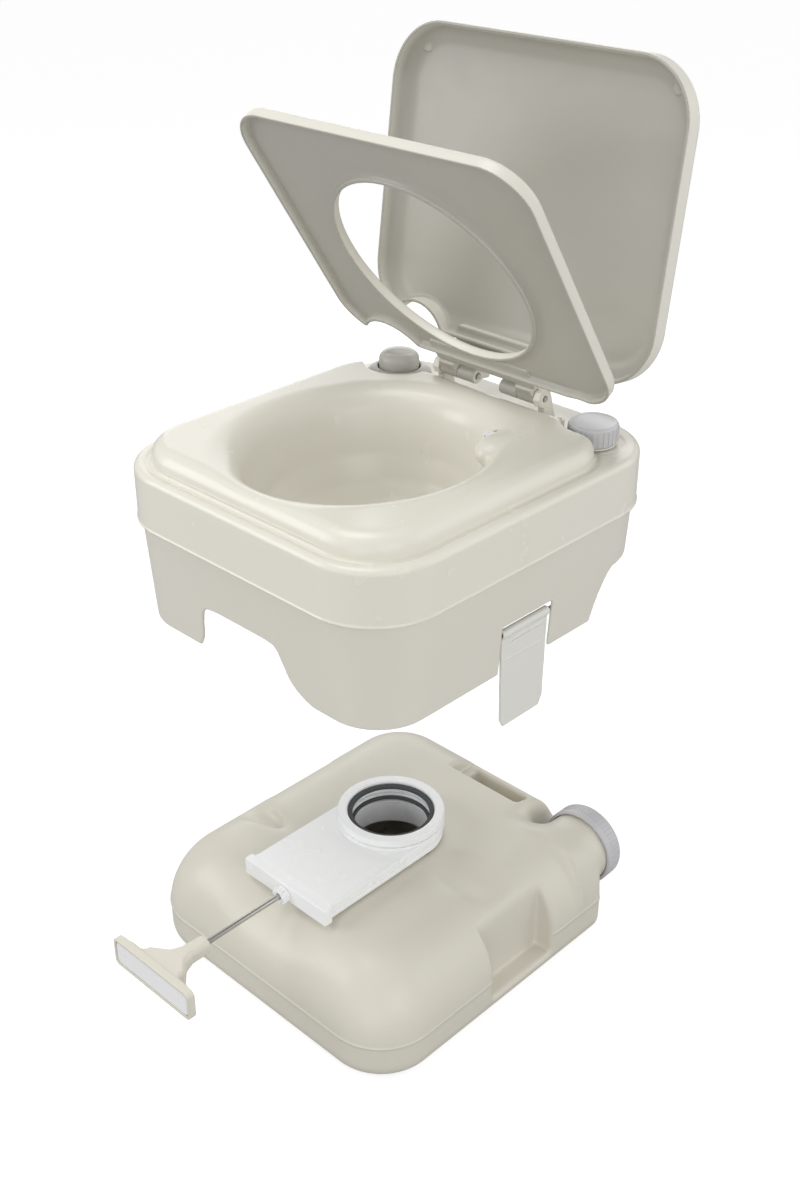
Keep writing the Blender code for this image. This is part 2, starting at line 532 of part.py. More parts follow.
def seat_rings():
    def outer(inset, z):
        return inset_ring(SEAT_HALF, SEAT_CENTRE, inset, 0.045, z)
    def hole(radius, z):
        return oval((radius, radius), z, HOLE_CENTRE)
    return [outer(0.0, SEAT_RIM), outer(0.0, 0.0012), outer(0.0016, 0.0050), outer(0.0065, SEAT_TOP),
            hole(0.1160, SEAT_TOP), hole(0.1122, 0.0050), hole(0.1110, 0.0014), hole(0.1110, -0.0052),
            hole(0.1138, -0.0052), hole(0.1146, 0.0022), hole(0.1160, 0.0036), outer(0.0090, 0.0036),
            outer(0.0038, -0.0005), outer(0.0030, SEAT_RIM)]


def lid_rings():
    def level(inset, z):
        return inset_ring(LID_HALF, LID_CENTRE, inset, 0.060 if inset < 0.04 else inset + 0.02, z)
    return [level(0.105, 0.0318), level(0.055, 0.0305), level(0.018, 0.0290), level(0.0055, 0.0270),
            level(0.0010, 0.0235), level(0.0, LID_RIM), level(0.0030, LID_RIM), level(0.0036, 0.0225),
            level(0.0090, 0.0250), level(0.0200, 0.0260), level(0.0550, 0.0275), level(0.1050, 0.0288)]


def rear_clearance(piece, label, core):
    """Walled scoops in a panel's rear corners, round the pump and the filler cap."""
    for name, (x, y), radius in (("pump", PUMP, 0.0410), ("filler", FILLER, 0.0330)):
        spot = (x, y - HINGE[0])
        wall = rod(f"{label}_{name}_wall", radius + 0.003, (*spot, -0.03), (*spot, 0.05), at=HINGE_AT, steps=40)
        combine(wall, [place(f"{label}_{name}_core", loft_mesh(f"{label}_{name}_core", core), at=HINGE_AT)],
                "INTERSECT")
        combine(piece, [wall], "UNION")
        combine(piece, [rod(f"{label}_{name}_scoop", radius, (*spot, -0.05), (*spot, 0.06), at=HINGE_AT, steps=40)])


def knuckles(piece, label, reach, web_low, web_high, web_front, web_back):
    """The two barrels of a panel on the hinge axis, each with the web that carries it."""
    for side, sign in (("left", -1), ("right", 1)):
        x = span(sign, *reach)
        combine(piece, [
            rod(f"{label}_{side}_barrel", BARREL, (x[0], 0, 0), (x[1], 0, 0), at=HINGE_AT, steps=20),
            box(f"{label}_{side}_web", (x[0] + 0.0004, web_front, web_low),
                (x[1] - 0.0004, web_back, web_high), at=HINGE_AT),
        ], "UNION")
    for side, sign in (("left", -1), ("right", 1)):
        combine(piece, [rod(f"{label}_{side}_pin_hole", 0.0032, (sign * 0.010, 0, 0), (sign * 0.080, 0, 0),
                            at=HINGE_AT, steps=14)])


seat = place("seat", loft_mesh("seat", seat_rings(), looped=True), "deck_plastic", HINGE_AT)
seat_core = [inset_ring(SEAT_HALF, SEAT_CENTRE, 0.0015, 0.045, SEAT_RIM + 0.001),
             inset_ring(SEAT_HALF, SEAT_CENTRE, 0.0016, 0.045, 0.0013),
             inset_ring(SEAT_HALF, SEAT_CENTRE, 0.0072, 0.045, 0.0051)]
combine(seat, [box("seat_tongue", (-TONGUE_X, -0.0400, -0.0020), (TONGUE_X, TONGUE_END, SEAT_TOP - 0.0004),
                   at=HINGE_AT)], "UNION")
rear_clearance(seat, "seat", seat_core)
knuckles(seat, "seat", SEAT_BARREL_X, -0.0060, 0.0058, TONGUE_END - 0.0006, 0.0)

lid = place("lid", loft_mesh("lid", lid_rings()), "deck_plastic", HINGE_AT)
lid_core = [inset_ring(LID_HALF, LID_CENTRE, 0.0015, 0.060, LID_RIM + 0.001),
            inset_ring(LID_HALF, LID_CENTRE, 0.0018, 0.060, 0.0230),
            inset_ring(LID_HALF, LID_CENTRE, 0.0090, 0.060, 0.0262)]
combine(lid, [box("lid_tongue", (-TONGUE_X, -0.0400, 0.0145), (TONGUE_X, -0.0115, 0.0272), at=HINGE_AT)], "UNION")
rear_clearance(lid, "lid", lid_core)
knuckles(lid, "lid", LID_BARREL_X, 0.0, 0.0200, TONGUE_END + 0.0006, 0.0040)
combine(lid, [rod(f"{side}_lid_boss", 0.0060, (sign * BOSS_AT[0], BOSS_AT[1], 0.0228),
                  (sign * BOSS_AT[0], BOSS_AT[1], 0.0280), at=HINGE_AT, steps=20)
              for side, sign in (("left", -1), ("right", 1))], "UNION")
seat.rotation_euler.x = radians(-SEAT_ANGLE)
lid.rotation_euler.x = radians(-LID_ANGLE)

# ---- hinge brackets on the deck, behind the pad --------------------------------------------------------
for side, sign in (("left", -1), ("right", 1)):
    foot = span(sign, EAR_X[0], BRACKET_END_X)
    ear = span(sign, *EAR_X)
    pin = span(sign, *PIN_X)
    floor = -HINGE[1]
    bracket = box(f"{side}_hinge_bracket", (foot[0], -0.0012, floor + GAP), (foot[1], 0.0200, floor + 0.0038),
                  "skirt_plastic", HINGE_AT)
    profile = [(-0.0012, floor + 0.001), (-0.0012, -0.0100), (-0.0075, -0.0065), (-0.0100, 0.0), (-0.0070, 0.0072),
               (0.0, 0.0100), (0.0070, 0.0072), (0.0100, 0.0), (0.0130, -0.0120), (0.0185, floor + 0.001)]
    combine(bracket, [prism(f"{side}_ear", profile, *ear, "X", at=HINGE_AT)], "UNION")
    combine(bracket, [rod(f"{side}_ear_hole", 0.0031, (ear[0] - 0.01, 0, 0), (ear[1] + 0.01, 0, 0), at=HINGE_AT,
                          steps=14)])
    rod(f"{side}_hinge_pin", 0.0027, (pin[0], 0, 0), (pin[1], 0, 0), "steel", HINGE_AT, 14)
    for row, y in (("front", 0.0040), ("rear", 0.0155)):
        spot = (sign * BRACKET_SCREW_X, y)
        combine(bracket, [rod(f"{side}_{row}_screw_way", 0.0019, (*spot, floor - 0.01), (*spot, floor + 0.01),
                              at=HINGE_AT, steps=10)])
        combine(deck, [rod(f"{side}_{row}_deck_way", 0.0019, (spot[0], spot[1] + HINGE[0], -0.01),
                           (spot[0], spot[1] + HINGE[0], 0.01), at=LIFTED, steps=10)])
        screw_at = (spot[0], spot[1] + HINGE[0], LEDGE_Z + 0.0041)
        turned(f"{side}_{row}_hinge_screw", [(0.0, 0.0018), (0.0020, 0.0016), (0.0034, 0.0006), (0.0034, 0.0),
                                             (0.0015, 0.0), (0.0015, -0.0120), (0.0, -0.0132)],
               "steel", screw_at, steps=12)
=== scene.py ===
import logging
import math
from dataclasses import dataclass, field
from enum import Enum
from typing import Any, Callable, Sequence

import bmesh
import bpy
import numpy as np
from mathutils import Matrix, Vector


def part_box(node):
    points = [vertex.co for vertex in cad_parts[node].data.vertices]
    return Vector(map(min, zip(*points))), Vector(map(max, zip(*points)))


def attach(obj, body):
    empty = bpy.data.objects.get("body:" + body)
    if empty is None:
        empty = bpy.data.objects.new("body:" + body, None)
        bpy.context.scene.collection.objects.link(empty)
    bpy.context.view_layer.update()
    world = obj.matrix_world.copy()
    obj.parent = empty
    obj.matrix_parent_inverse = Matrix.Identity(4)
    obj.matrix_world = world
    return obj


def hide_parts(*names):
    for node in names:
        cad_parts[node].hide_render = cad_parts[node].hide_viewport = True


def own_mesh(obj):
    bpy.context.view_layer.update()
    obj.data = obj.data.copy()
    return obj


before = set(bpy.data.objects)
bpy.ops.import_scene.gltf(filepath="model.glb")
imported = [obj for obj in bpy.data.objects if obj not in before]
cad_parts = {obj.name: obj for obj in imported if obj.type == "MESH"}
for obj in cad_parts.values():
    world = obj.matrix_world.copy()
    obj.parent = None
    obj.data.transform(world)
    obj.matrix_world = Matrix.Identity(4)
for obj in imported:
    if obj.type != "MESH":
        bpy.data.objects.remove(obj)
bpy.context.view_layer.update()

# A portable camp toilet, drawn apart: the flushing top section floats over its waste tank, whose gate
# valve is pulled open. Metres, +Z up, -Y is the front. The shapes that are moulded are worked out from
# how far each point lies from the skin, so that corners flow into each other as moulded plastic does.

LOG = logging.getLogger("camp_toilet")

Array = np.ndarray
Shape = Callable[[Array, Array, Array], Array]
Point = tuple[float, float, float]
Pair = tuple[float, float]


class Body(Enum):
    """The CAD bodies that pieces ride on."""

    TANK = "waste_tank"
    GATE = "valve_gate"
    SPOUT_CAP = "spout_cap"
    TOP = "top_section"
    KNOB = "pump_knob"
    FILLER_CAP = "filler_cap"
    SEAT = "seat"
    LID = "lid"
    LEFT_LATCH = "left_latch"
    RIGHT_LATCH = "right_latch"


class Side(Enum):
    """The two sides of the toilet, with the sign of X on each."""

    LEFT = -1
    RIGHT = 1

    @property
    def word(self) -> str:
        """The side's name as it stands in node names."""
        return self.name.lower()


# ---- shapes given by distance ---------------------------------------------------------------------------


def blend_in(a: Array, b: Array, k: float) -> Array:
    """Joins two shapes with a fillet.

    Args:
        a: Distance to the first shape.
        b: Distance to the second shape.
        k: Width of the fillet.

    Returns:
        Distance to both shapes as one.
    """
    h = np.clip(0.5 + 0.5 * (b - a) / k, 0.0, 1.0)
    return b + (a - b) * h - k * h * (1.0 - h)


def carve(a: Array, b: Array, k: float) -> Array:
    """Cuts shape b from shape a and rounds the edge over a width k."""
    return -blend_in(-a, b, k)


def overlap(a: Array, b: Array, k: float) -> Array:
    """Keeps what lies in both shapes and rounds the edge over a width k."""
    return -blend_in(-a, -b, k)


def plan(u: Array, v: Array, half: tuple[Any, Any], corner: Any, soft: float = 0.0) -> Array:
    """Distance to a rectangle with rounded corners, seen along one axis.

    Args:
        u: First coordinate, measured from the rectangle's centre.
        v: Second coordinate.
        half: Half width and half depth.
        corner: Corner radius.
        soft: How far the corners stay round on the way in to the centre.

    Returns:
        Signed distance, negative inside.
    """
    a = np.abs(u) - (half[0] - corner)
    b = np.abs(v) - (half[1] - corner)
    inner = -blend_in(-a, -b, soft) if soft else np.maximum(a, b)
    return np.hypot(np.maximum(a, 0.0), np.maximum(b, 0.0)) + np.minimum(inner, 0.0) - corner


def thick(flat: Array, w: Array, low: float, high: float, edge: float) -> Array:
    """Gives a flat outline a thickness, with rounded edges.

    Args:
        flat: Distance to the outline in its own plane.
        w: Coordinate across the plane.
        low: Where the shape starts on that axis.
        high: Where it ends.
        edge: Edge radius.

    Returns:
        Signed distance to the solid.
    """
    a = flat + edge
    b = np.abs(w - (low + high) / 2) - (high - low) / 2 + edge
    return np.hypot(np.maximum(a, 0.0), np.maximum(b, 0.0)) + np.minimum(np.maximum(a, b), 0.0) - edge


def block(x: Array, y: Array, z: Array, low: Point, high: Point, edge: float) -> Array:
    """Distance to a box between two corners, with rounded edges.

    Args:
        x: First coordinate.
        y: Second coordinate.
        z: Third coordinate.
        low: Lowest corner.
        high: Highest corner.
        edge: Radius of its edges.

    Returns:
        Signed distance, negative inside.
    """
    mid = [(a + b) / 2 for a, b in zip(low, high)]
    half = [(b - a) / 2 for a, b in zip(low, high)]
    return thick(plan(x - mid[0], y - mid[1], (half[0], half[1]), edge), z, low[2], high[2], edge)


def drum(u: Array, v: Array, w: Array, radius: float, low: float, high: float, edge: float) -> Array:
    """Distance to a round bar along w, with rounded ends."""
    return thick(np.hypot(u, v) - radius, w, low, high, edge)


@dataclass(frozen=True)
class Egg:
    """A soft round hollow or lump.

    Attributes:
        centre: Its middle.
        reach: Its radius on each axis.
        fall: How fast its distance grows.
        fillet: Width of the fillet that joins it to the skin.
    """

    centre: Point
    reach: Point
    fall: float
    fillet: float

    def distance(self, x: Array, y: Array, z: Array) -> Array:
        """Rough distance to the egg."""
        u, v, w = ((a - c) / r for a, c, r in zip((x, y, z), self.centre, self.reach))
        return (np.hypot(np.hypot(u, v), w) - 1.0) * self.fall

    def cut(self, f: Array, x: Array, y: Array, z: Array) -> Array:
        """Presses the egg into a shape."""
        return carve(f, self.distance(x, y, z), self.fillet)

    def add(self, f: Array, x: Array, y: Array, z: Array) -> Array:
        """Raises the egg from a shape."""
        return blend_in(f, self.distance(x, y, z), self.fillet)


def outline_area(u: Array, v: Array, points: Sequence[Pair]) -> Array:
    """Distance to a closed outline with straight sides.

    Args:
        u: First coordinate.
        v: Second coordinate.
        points: The outline's corners in order.

    Returns:
        Signed distance, negative inside.
    """
    best = np.full(np.broadcast(u, v).shape, 1e9)
    sign = np.ones_like(best)
    for (au, av), (bu, bv) in zip(points, list(points[1:]) + [points[0]]):
        eu, ev = bu - au, bv - av
        du, dv = u - au, v - av
        t = np.clip((du * eu + dv * ev) / (eu * eu + ev * ev), 0.0, 1.0)
        best = np.minimum(best, (du - eu * t) ** 2 + (dv - ev * t) ** 2)
        above, below = v >= av, v < bv
        left = eu * dv > ev * du
        turn = (above & below & left) | (~above & ~below & ~left)
        sign = np.where(turn, -sign, sign)
    return sign * np.sqrt(best)


def rounded_path(points: Sequence[Pair], times: int = 2) -> list[Pair]:
    """Rounds the corners of a closed outline by cutting them again and again.

    Args:
        points: The points, one to a row.
        times: How often the corners are cut.

    Returns:
        The new outline.
    """
    path = [tuple(p) for p in points]
    for _ in range(times):
        after = path[1:] + path[:1]
        path = [q for a, b in zip(path, after)
                for q in ((0.75 * a[0] + 0.25 * b[0], 0.75 * a[1] + 0.25 * b[1]),
                          (0.25 * a[0] + 0.75 * b[0], 0.25 * a[1] + 0.75 * b[1]))]
    return path


@dataclass
class Moulding:
    """A moulded piece, meshed from the distance to its skin.

    Attributes:
        name: Name of the piece.
        shape: Gives each point's distance from the skin, negative inside.
        low: Lowest corner of the space that is meshed.
        high: Highest corner of that space.
        pitch: Size of a mesh cell.
        keep: Share of the faces kept where the skin is flat.
        place: Turns the drawn piece into its place.
    """

    name: str
    shape: Shape
    low: Point
    high: Point
    pitch: float = 0.002
    keep: float = 0.4
    place: Matrix = field(default_factory=lambda: Matrix.Identity(4))

    SETTLE_ROUNDS = 3
    CREASE_REACH = 0.005
    EDGE_REACH = 0.0012

    def _slope(self, p: Array) -> tuple[Array, Array]:
        """Distance and its slope at each point.

        Args:
            p: The points, one to a row.

        Returns:
            The distances, and the slope of each.
        """
        h = 1e-5
        at = self.shape(p[:, 0], p[:, 1], p[:, 2])
        slope = np.empty_like(p)
        for axis in range(3):
            q = p.copy()
            q[:, axis] += h
            slope[:, axis] = (self.shape(q[:, 0], q[:, 1], q[:, 2]) - at) / h
        return at, slope

    def _net(self) -> tuple[Array, Array]:
        """Points and four-sided faces of the skin.

        Returns:
            The points, one in each cell that the skin crosses, and the faces between them.
        """
        axes = [np.arange(a, b + self.pitch, self.pitch) for a, b in zip(self.low, self.high)]
        size = [len(a) for a in axes]
        grid = np.meshgrid(*axes, indexing="ij", sparse=True)
        f = np.broadcast_to(self.shape(*grid), size)
        cells, crossings = [], []
        for axis in range(3):
            first = tuple(slice(0, -1) if d == axis else slice(None) for d in range(3))
            second = tuple(slice(1, None) if d == axis else slice(None) for d in range(3))
            a, b = f[first], f[second]
            found = np.stack(np.nonzero((a < 0) != (b < 0)), axis=1)
            where = tuple(found.T)
            va, vb = a[where], b[where]
            p = np.stack([axes[d][found[:, d]] for d in range(3)], axis=1)
            p[:, axis] += va / (va - vb) * self.pitch
            u, w = (axis + 1) % 3, (axis + 2) % 3
            four = []
            for du, dw in ((0, 0), (-1, 0), (-1, -1), (0, -1)):
                cell = found.copy()
                cell[:, u] += du
                cell[:, w] += dw
                four.append(np.ravel_multi_index(tuple(cell.T), size))
            four = np.stack(four, axis=1)
            cells.append(np.where((va < 0)[:, None], four, four[:, ::-1]))
            crossings.append(p)
        cells, crossings = np.concatenate(cells), np.concatenate(crossings)
        ids, faces = np.unique(cells, return_inverse=True)
        faces = faces.reshape(cells.shape)
        flat = faces.ravel()
        count = np.bincount(flat, minlength=len(ids))
        points = np.stack([np.bincount(flat, weights=np.repeat(crossings[:, d], 4), minlength=len(ids))
                           for d in range(3)], axis=1) / count[:, None]
        return points, faces

    def _settle(self, points: Array, rounds: int) -> Array:
        """Moves points onto the skin.

        Args:
            points: The points, one to a row.
            rounds: How many times they are moved.

        Returns:
            The moved points.
        """
        for _ in range(rounds):
            at, slope = self._slope(points)
            step = at / np.maximum((slope ** 2).sum(axis=1), 0.04)
            move = step[:, None] * slope
            far = np.linalg.norm(move, axis=1)
            move *= np.minimum(1.0, 0.7 * self.pitch / np.maximum(far, 1e-9))[:, None]
            points = points - move
        return points

    def build(self, finish: "Finish") -> bpy.types.Object:
        """Makes the piece.

        Args:
            finish: The finish it gets.

        Returns:
            The piece, with its place in its mesh.
        """
        points, faces = self._net()
        points = self._settle(points, self.SETTLE_ROUNDS)
        mesh = bpy.data.meshes.new(self.name)
        mesh.from_pydata(points.tolist(), [], faces.tolist())
        obj = bpy.data.objects.new(self.name, mesh)
        bpy.context.scene.collection.objects.link(obj)
        if self.keep < 1.0:
            thin = obj.modifiers.new("thin_out_flat_areas", "DECIMATE")
            thin.ratio = self.keep
            mesh = bake_modifiers(obj)
        self._dress_skin(mesh)
        mesh.materials.clear()
        mesh.materials.append(finish.material())
        return obj

    def _dress_skin(self, mesh: bpy.types.Mesh) -> None:
        """Stores masks for darker creases, painted edge highlight and painted underside shade, then sets its
        normals and place.

        Args:
            mesh: The mesh, in its drawn place.
        """
        points = np.empty(len(mesh.vertices) * 3, np.float32)
        mesh.vertices.foreach_get("co", points)
        points = points.reshape(-1, 3).astype(float)
        _, slope = self._slope(points)
        normal = slope / np.maximum(np.linalg.norm(slope, axis=1), 1e-9)[:, None]
        # Crease mask: how far the skin closes in just outside each point; the finishes darken there.
        out = points + self.CREASE_REACH * normal
        crease = 1.0 - np.clip(self.shape(*out.T) / self.CREASE_REACH, 0.0, 1.0)
        # Edge mask: how thin the piece is just inside each point; the finishes paint a highlight on these
        # outer edges.
        inner = points - self.EDGE_REACH * normal
        edge = 1.0 - np.clip(-self.shape(*inner.T) / self.EDGE_REACH, 0.0, 1.0)
        # Under mask: how far each point faces down as drawn; the finishes paint shade there.
        under = np.clip(-2.0 * normal[:, 2], 0.0, 1.0)
        for name, values in (("crease", crease), ("edge", edge), ("under", under)):
            attribute = mesh.attributes.new(name, "FLOAT", "POINT")
            attribute.data.foreach_set("value", values.astype(np.float32))
        turn = np.array(self.place.to_3x3())
        placed = points @ turn.T + np.array(self.place.translation)
        mesh.vertices.foreach_set("co", placed.astype(np.float32).ravel())
        mesh.polygons.foreach_set("use_smooth", [True] * len(mesh.polygons))
        mesh.update()
        mesh.normals_split_custom_set_from_vertices((normal @ turn.T).tolist())


def bake_modifiers(obj: bpy.types.Object) -> bpy.types.Mesh:
    """Turns an object's modifiers into its plain mesh.

    Args:
        obj: The object, already in the scene.

    Returns:
        Its new mesh.
    """
    bpy.context.view_layer.update()
    graph = bpy.context.evaluated_depsgraph_get()
    mesh = bpy.data.meshes.new_from_object(obj.evaluated_get(graph))
    mesh.name = obj.name
    obj.modifiers.clear()
    obj.data = mesh
    return mesh


# ---- finishes -----------------------------------------------------------------------------------------


class Wire:
    """A shader socket that Python sums can be written on."""

    def __init__(self, tree: bpy.types.NodeTree, socket: Any) -> None:
        """Holds a socket of a node tree."""
        self.tree = tree
        self.socket = socket

    def _sum(self, operation: str, other: Any, swap: bool = False) -> "Wire":
        """Adds a Math node to this socket and another value.

        Args:
            operation: The Math node's operation.
            other: A number or another socket.
            swap: Whether the other value comes first.

        Returns:
            The node's result.
        """
        pair = (other, self) if swap else (self, other)
        return add_node(self.tree, "ShaderNodeMath", {"operation": operation}, {0: pair[0], 1: pair[1]})

    def __add__(self, other: Any) -> "Wire":
        """This plus another."""
        return self._sum("ADD", other)

    __radd__ = __add__

    def __mul__(self, other: Any) -> "Wire":
        """This times another."""
        return self._sum("MULTIPLY", other)

    __rmul__ = __mul__

    def __sub__(self, other: Any) -> "Wire":
        """This less another."""
        return self._sum("SUBTRACT", other)

    def __rsub__(self, other: Any) -> "Wire":
        """Another less this."""
        return self._sum("SUBTRACT", other, swap=True)

    def clamp(self, low: float, high: float) -> "Wire":
        """Stretches the span from low to high over 0 to 1, and stops at the ends."""
        return add_node(self.tree, "ShaderNodeMapRange", {"clamp": True},
                        {"Value": self, "From Min": low, "From Max": high})


def add_node(tree: bpy.types.NodeTree, kind: str, settings: dict[str, Any], values: dict[Any, Any],
             out: Any = 0) -> Wire:
    """Adds a node.

    Args:
        tree: The tree it goes in.
        kind: The node's type.
        settings: Its settings, set before its sockets.
        values: A number, colour or socket for each of its inputs, by name or place.
        out: Which output comes back.

    Returns:
        That output.
    """
    node = tree.nodes.new(kind)
    for key, value in settings.items():
        setattr(node, key, value)
    for key, value in values.items():
        socket = node.inputs[key]
        if isinstance(value, Wire):
            tree.links.new(value.socket, socket)
        else:
            socket.default_value = value
    return Wire(tree, node.outputs[out])


def mix_colour(tree: bpy.types.NodeTree, share: Any, a: Any, b: Any) -> Wire:
    """Mixes two colours.

    Args:
        tree: The material's tree.
        share: How much of the second colour there is.
        a: First colour, as three numbers or a socket.
        b: Second colour.

    Returns:
        The mixed colour.
    """
    full = [c if isinstance(c, Wire) else (*c, 1.0) for c in (a, b)]
    return add_node(tree, "ShaderNodeMix", {"data_type": "RGBA"}, {0: share, 6: full[0], 7: full[1]}, out=2)


@dataclass(frozen=True)
class Finish:
    """A moulded plastic, or the base of another finish.

    Attributes:
        name: What the maker calls it.
        colour: Its colour.
        warm: The colour it drifts to in patches.
        roughness: How matt it is.
        drift: How much the colour drifts.
        grain: Height of the skin's fine texture, in metres.
        grain_size: Texture cells per metre.
        grime: How much darker the creases are.
        shine_drift: How much the roughness wanders.
        metallic: 1 for bare metal.
        under_shade: How much painted shade darkens the side that was drawn facing down.
    """

    name: str
    colour: Point
    warm: Point
    roughness: float = 0.4
    drift: float = 0.5
    grain: float = 0.00004
    grain_size: float = 900.0
    grime: float = 0.25
    shine_drift: float = 0.10
    metallic: float = 0.0
    under_shade: float = 0.0

    def material(self) -> bpy.types.Material:
        """The finish as a material, made the first time it is asked for."""
        found = bpy.data.materials.get(self.name)
        return found or self._make()

    def _make(self) -> bpy.types.Material:
        """Builds the material's nodes.

        Returns:
            The material.
        """
        material = bpy.data.materials.new(self.name)
        material.use_nodes = True
        tree = material.node_tree
        shader = tree.nodes["Principled BSDF"]
        shader.inputs["Metallic"].default_value = self.metallic
        place = add_node(tree, "ShaderNodeTexCoord", {}, {}, out="Object")
        patches = self._noise(tree, place, 7.0, 3.0)
        specks = self._noise(tree, place, 160.0, 2.0)
        crease = add_node(tree, "ShaderNodeAttribute", {"attribute_name": "crease"}, {}, out="Fac")
        edge = add_node(tree, "ShaderNodeAttribute", {"attribute_name": "edge"}, {}, out="Fac")
        drift = (patches.clamp(0.35, 0.68) * 0.8 + specks.clamp(0.55, 0.8) * 0.2) * self.drift
        base = mix_colour(tree, drift, self.colour, self.warm)
        # Creases are darkened patchily towards a dim warm colour, and made rougher.
        crease_dark = crease.clamp(0.25, 1.0) * patches.clamp(0.2, 0.7) * self.grime
        dark = tuple(0.55 * c for c in self.warm)
        base = mix_colour(tree, crease_dark, base, dark)
        # Painted shade: faces that face down as drawn are darkened towards a dim warm colour, by under_shade.
        under = add_node(tree, "ShaderNodeAttribute", {"attribute_name": "under"}, {}, out="Fac")
        base = mix_colour(tree, under * self.under_shade, base, tuple(0.45 * c for c in self.warm))
        # Painted highlight: sharp outer edges, found by the edge mask, are lightened towards a paler colour.
        edge_highlight = tuple(min(1.0, 1.12 * c + 0.02) for c in self.colour)
        base = mix_colour(tree, edge.clamp(0.35, 0.9) * 0.35, base, edge_highlight)
        tree.links.new(base.socket, shader.inputs["Base Color"])
        rough = self._noise(tree, place, 34.0, 4.0)
        shine = (rough - 0.5) * self.shine_drift * 2.0 + self.roughness + crease_dark * 0.3
        tree.links.new(shine.socket, shader.inputs["Roughness"])
        self._texture(tree, shader, place)
        return material

    def _noise(self, tree: bpy.types.NodeTree, place: Wire, scale: float, detail: float) -> Wire:
        """A noise over the piece, from 0 to 1."""
        return add_node(tree, "ShaderNodeTexNoise", {}, {"Vector": place, "Scale": scale, "Detail": detail})

    def _texture(self, tree: bpy.types.NodeTree, shader: bpy.types.Node, place: Wire) -> None:
        """Adds the moulded skin's fine relief.

        Args:
            tree: The material's tree.
            shader: The shader that the relief feeds.
            place: Where each point of the piece lies.
        """
        fine = self._noise(tree, place, self.grain_size, 2.0)
        swell = self._noise(tree, place, 55.0, 2.0)
        height = fine * self.grain + swell * (self.grain * 2.5)
        bump = add_node(tree, "ShaderNodeBump", {}, {"Height": height, "Distance": 1.0, "Strength": 1.0})
        tree.links.new(bump.socket, shader.inputs["Normal"])


@dataclass(frozen=True)
class Steel(Finish):
    """Drawn steel, with fine lines round the rod."""

    metallic: float = 1.0

    def _texture(self, tree: bpy.types.NodeTree, shader: bpy.types.Node, place: Wire) -> None:
        """Adds fine drawing lines along the length.

        Args:
            tree: The material's tree.
            shader: The shader that the relief feeds.
            place: Where each point of the piece lies.
        """
        squeezed = add_node(tree, "ShaderNodeMapping", {}, {"Vector": place, "Scale": (900.0, 12.0, 900.0)})
        lines = self._noise(tree, squeezed, 1.0, 2.0)
        bump = add_node(tree, "ShaderNodeBump", {}, {"Height": lines * 0.00002, "Distance": 1.0})
        tree.links.new(bump.socket, shader.inputs["Normal"])


# A plastic close to the deck's, with strong painted shade on faces that face down as drawn: the seat's and
# lid's undersides.
SEAT = Finish("seat_plastic", (0.790, 0.765, 0.685), (0.755, 0.728, 0.645),
              0.34, 0.25, 0.00004, 420.0, 0.10, under_shade=0.80)
DECK = Finish("cream_gloss_plastic", (0.805, 0.780, 0.695), (0.775, 0.745, 0.652),
              0.24, 0.30, 0.00003, 120.0, 0.10)
SKIRT = Finish("cream_satin_plastic", (0.745, 0.720, 0.640), (0.715, 0.685, 0.595),
               0.33, 0.30, 0.00005, 420.0, 0.10)
TANK = Finish("blown_tank_plastic", (0.735, 0.705, 0.615), (0.700, 0.665, 0.570),
              0.36, 0.35, 0.00008, 380.0, 0.12)
VALVE = Finish("white_valve_plastic", (0.950, 0.962, 0.965), (0.930, 0.942, 0.945),
               0.26, 0.30, 0.00002, 150.0, 0.15)
CAP = Finish("grey_cap_plastic", (0.610, 0.605, 0.625), (0.560, 0.555, 0.570),
             0.36, 0.40, 0.00003, 450.0, 0.20)
KNOB = Finish("pump_knob_plastic", (0.540, 0.535, 0.490), (0.500, 0.490, 0.440),
              0.34, 0.40, 0.00003, 450.0, 0.20)
LATCH = Finish("latch_plastic", (0.790, 0.785, 0.740), (0.755, 0.745, 0.695),
               0.38, 0.35, 0.00004, 430.0, 0.12)
RUBBER = Finish("black_rubber", (0.040, 0.045, 0.050), (0.060, 0.062, 0.066),
                0.52, 0.60, 0.00004, 500.0, 0.10)
LABEL = Finish("white_panel", (0.900, 0.905, 0.905), (0.860, 0.865, 0.860),
               0.30, 0.30, 0.00001, 500.0, 0.10)
STEEL = Steel("drawn_steel", (0.560, 0.550, 0.530), (0.480, 0.470, 0.450),
              0.24, 0.5, 0.00002, 900.0, 0.2)


# ---- turned pieces and repeats ------------------------------------------------------------------------


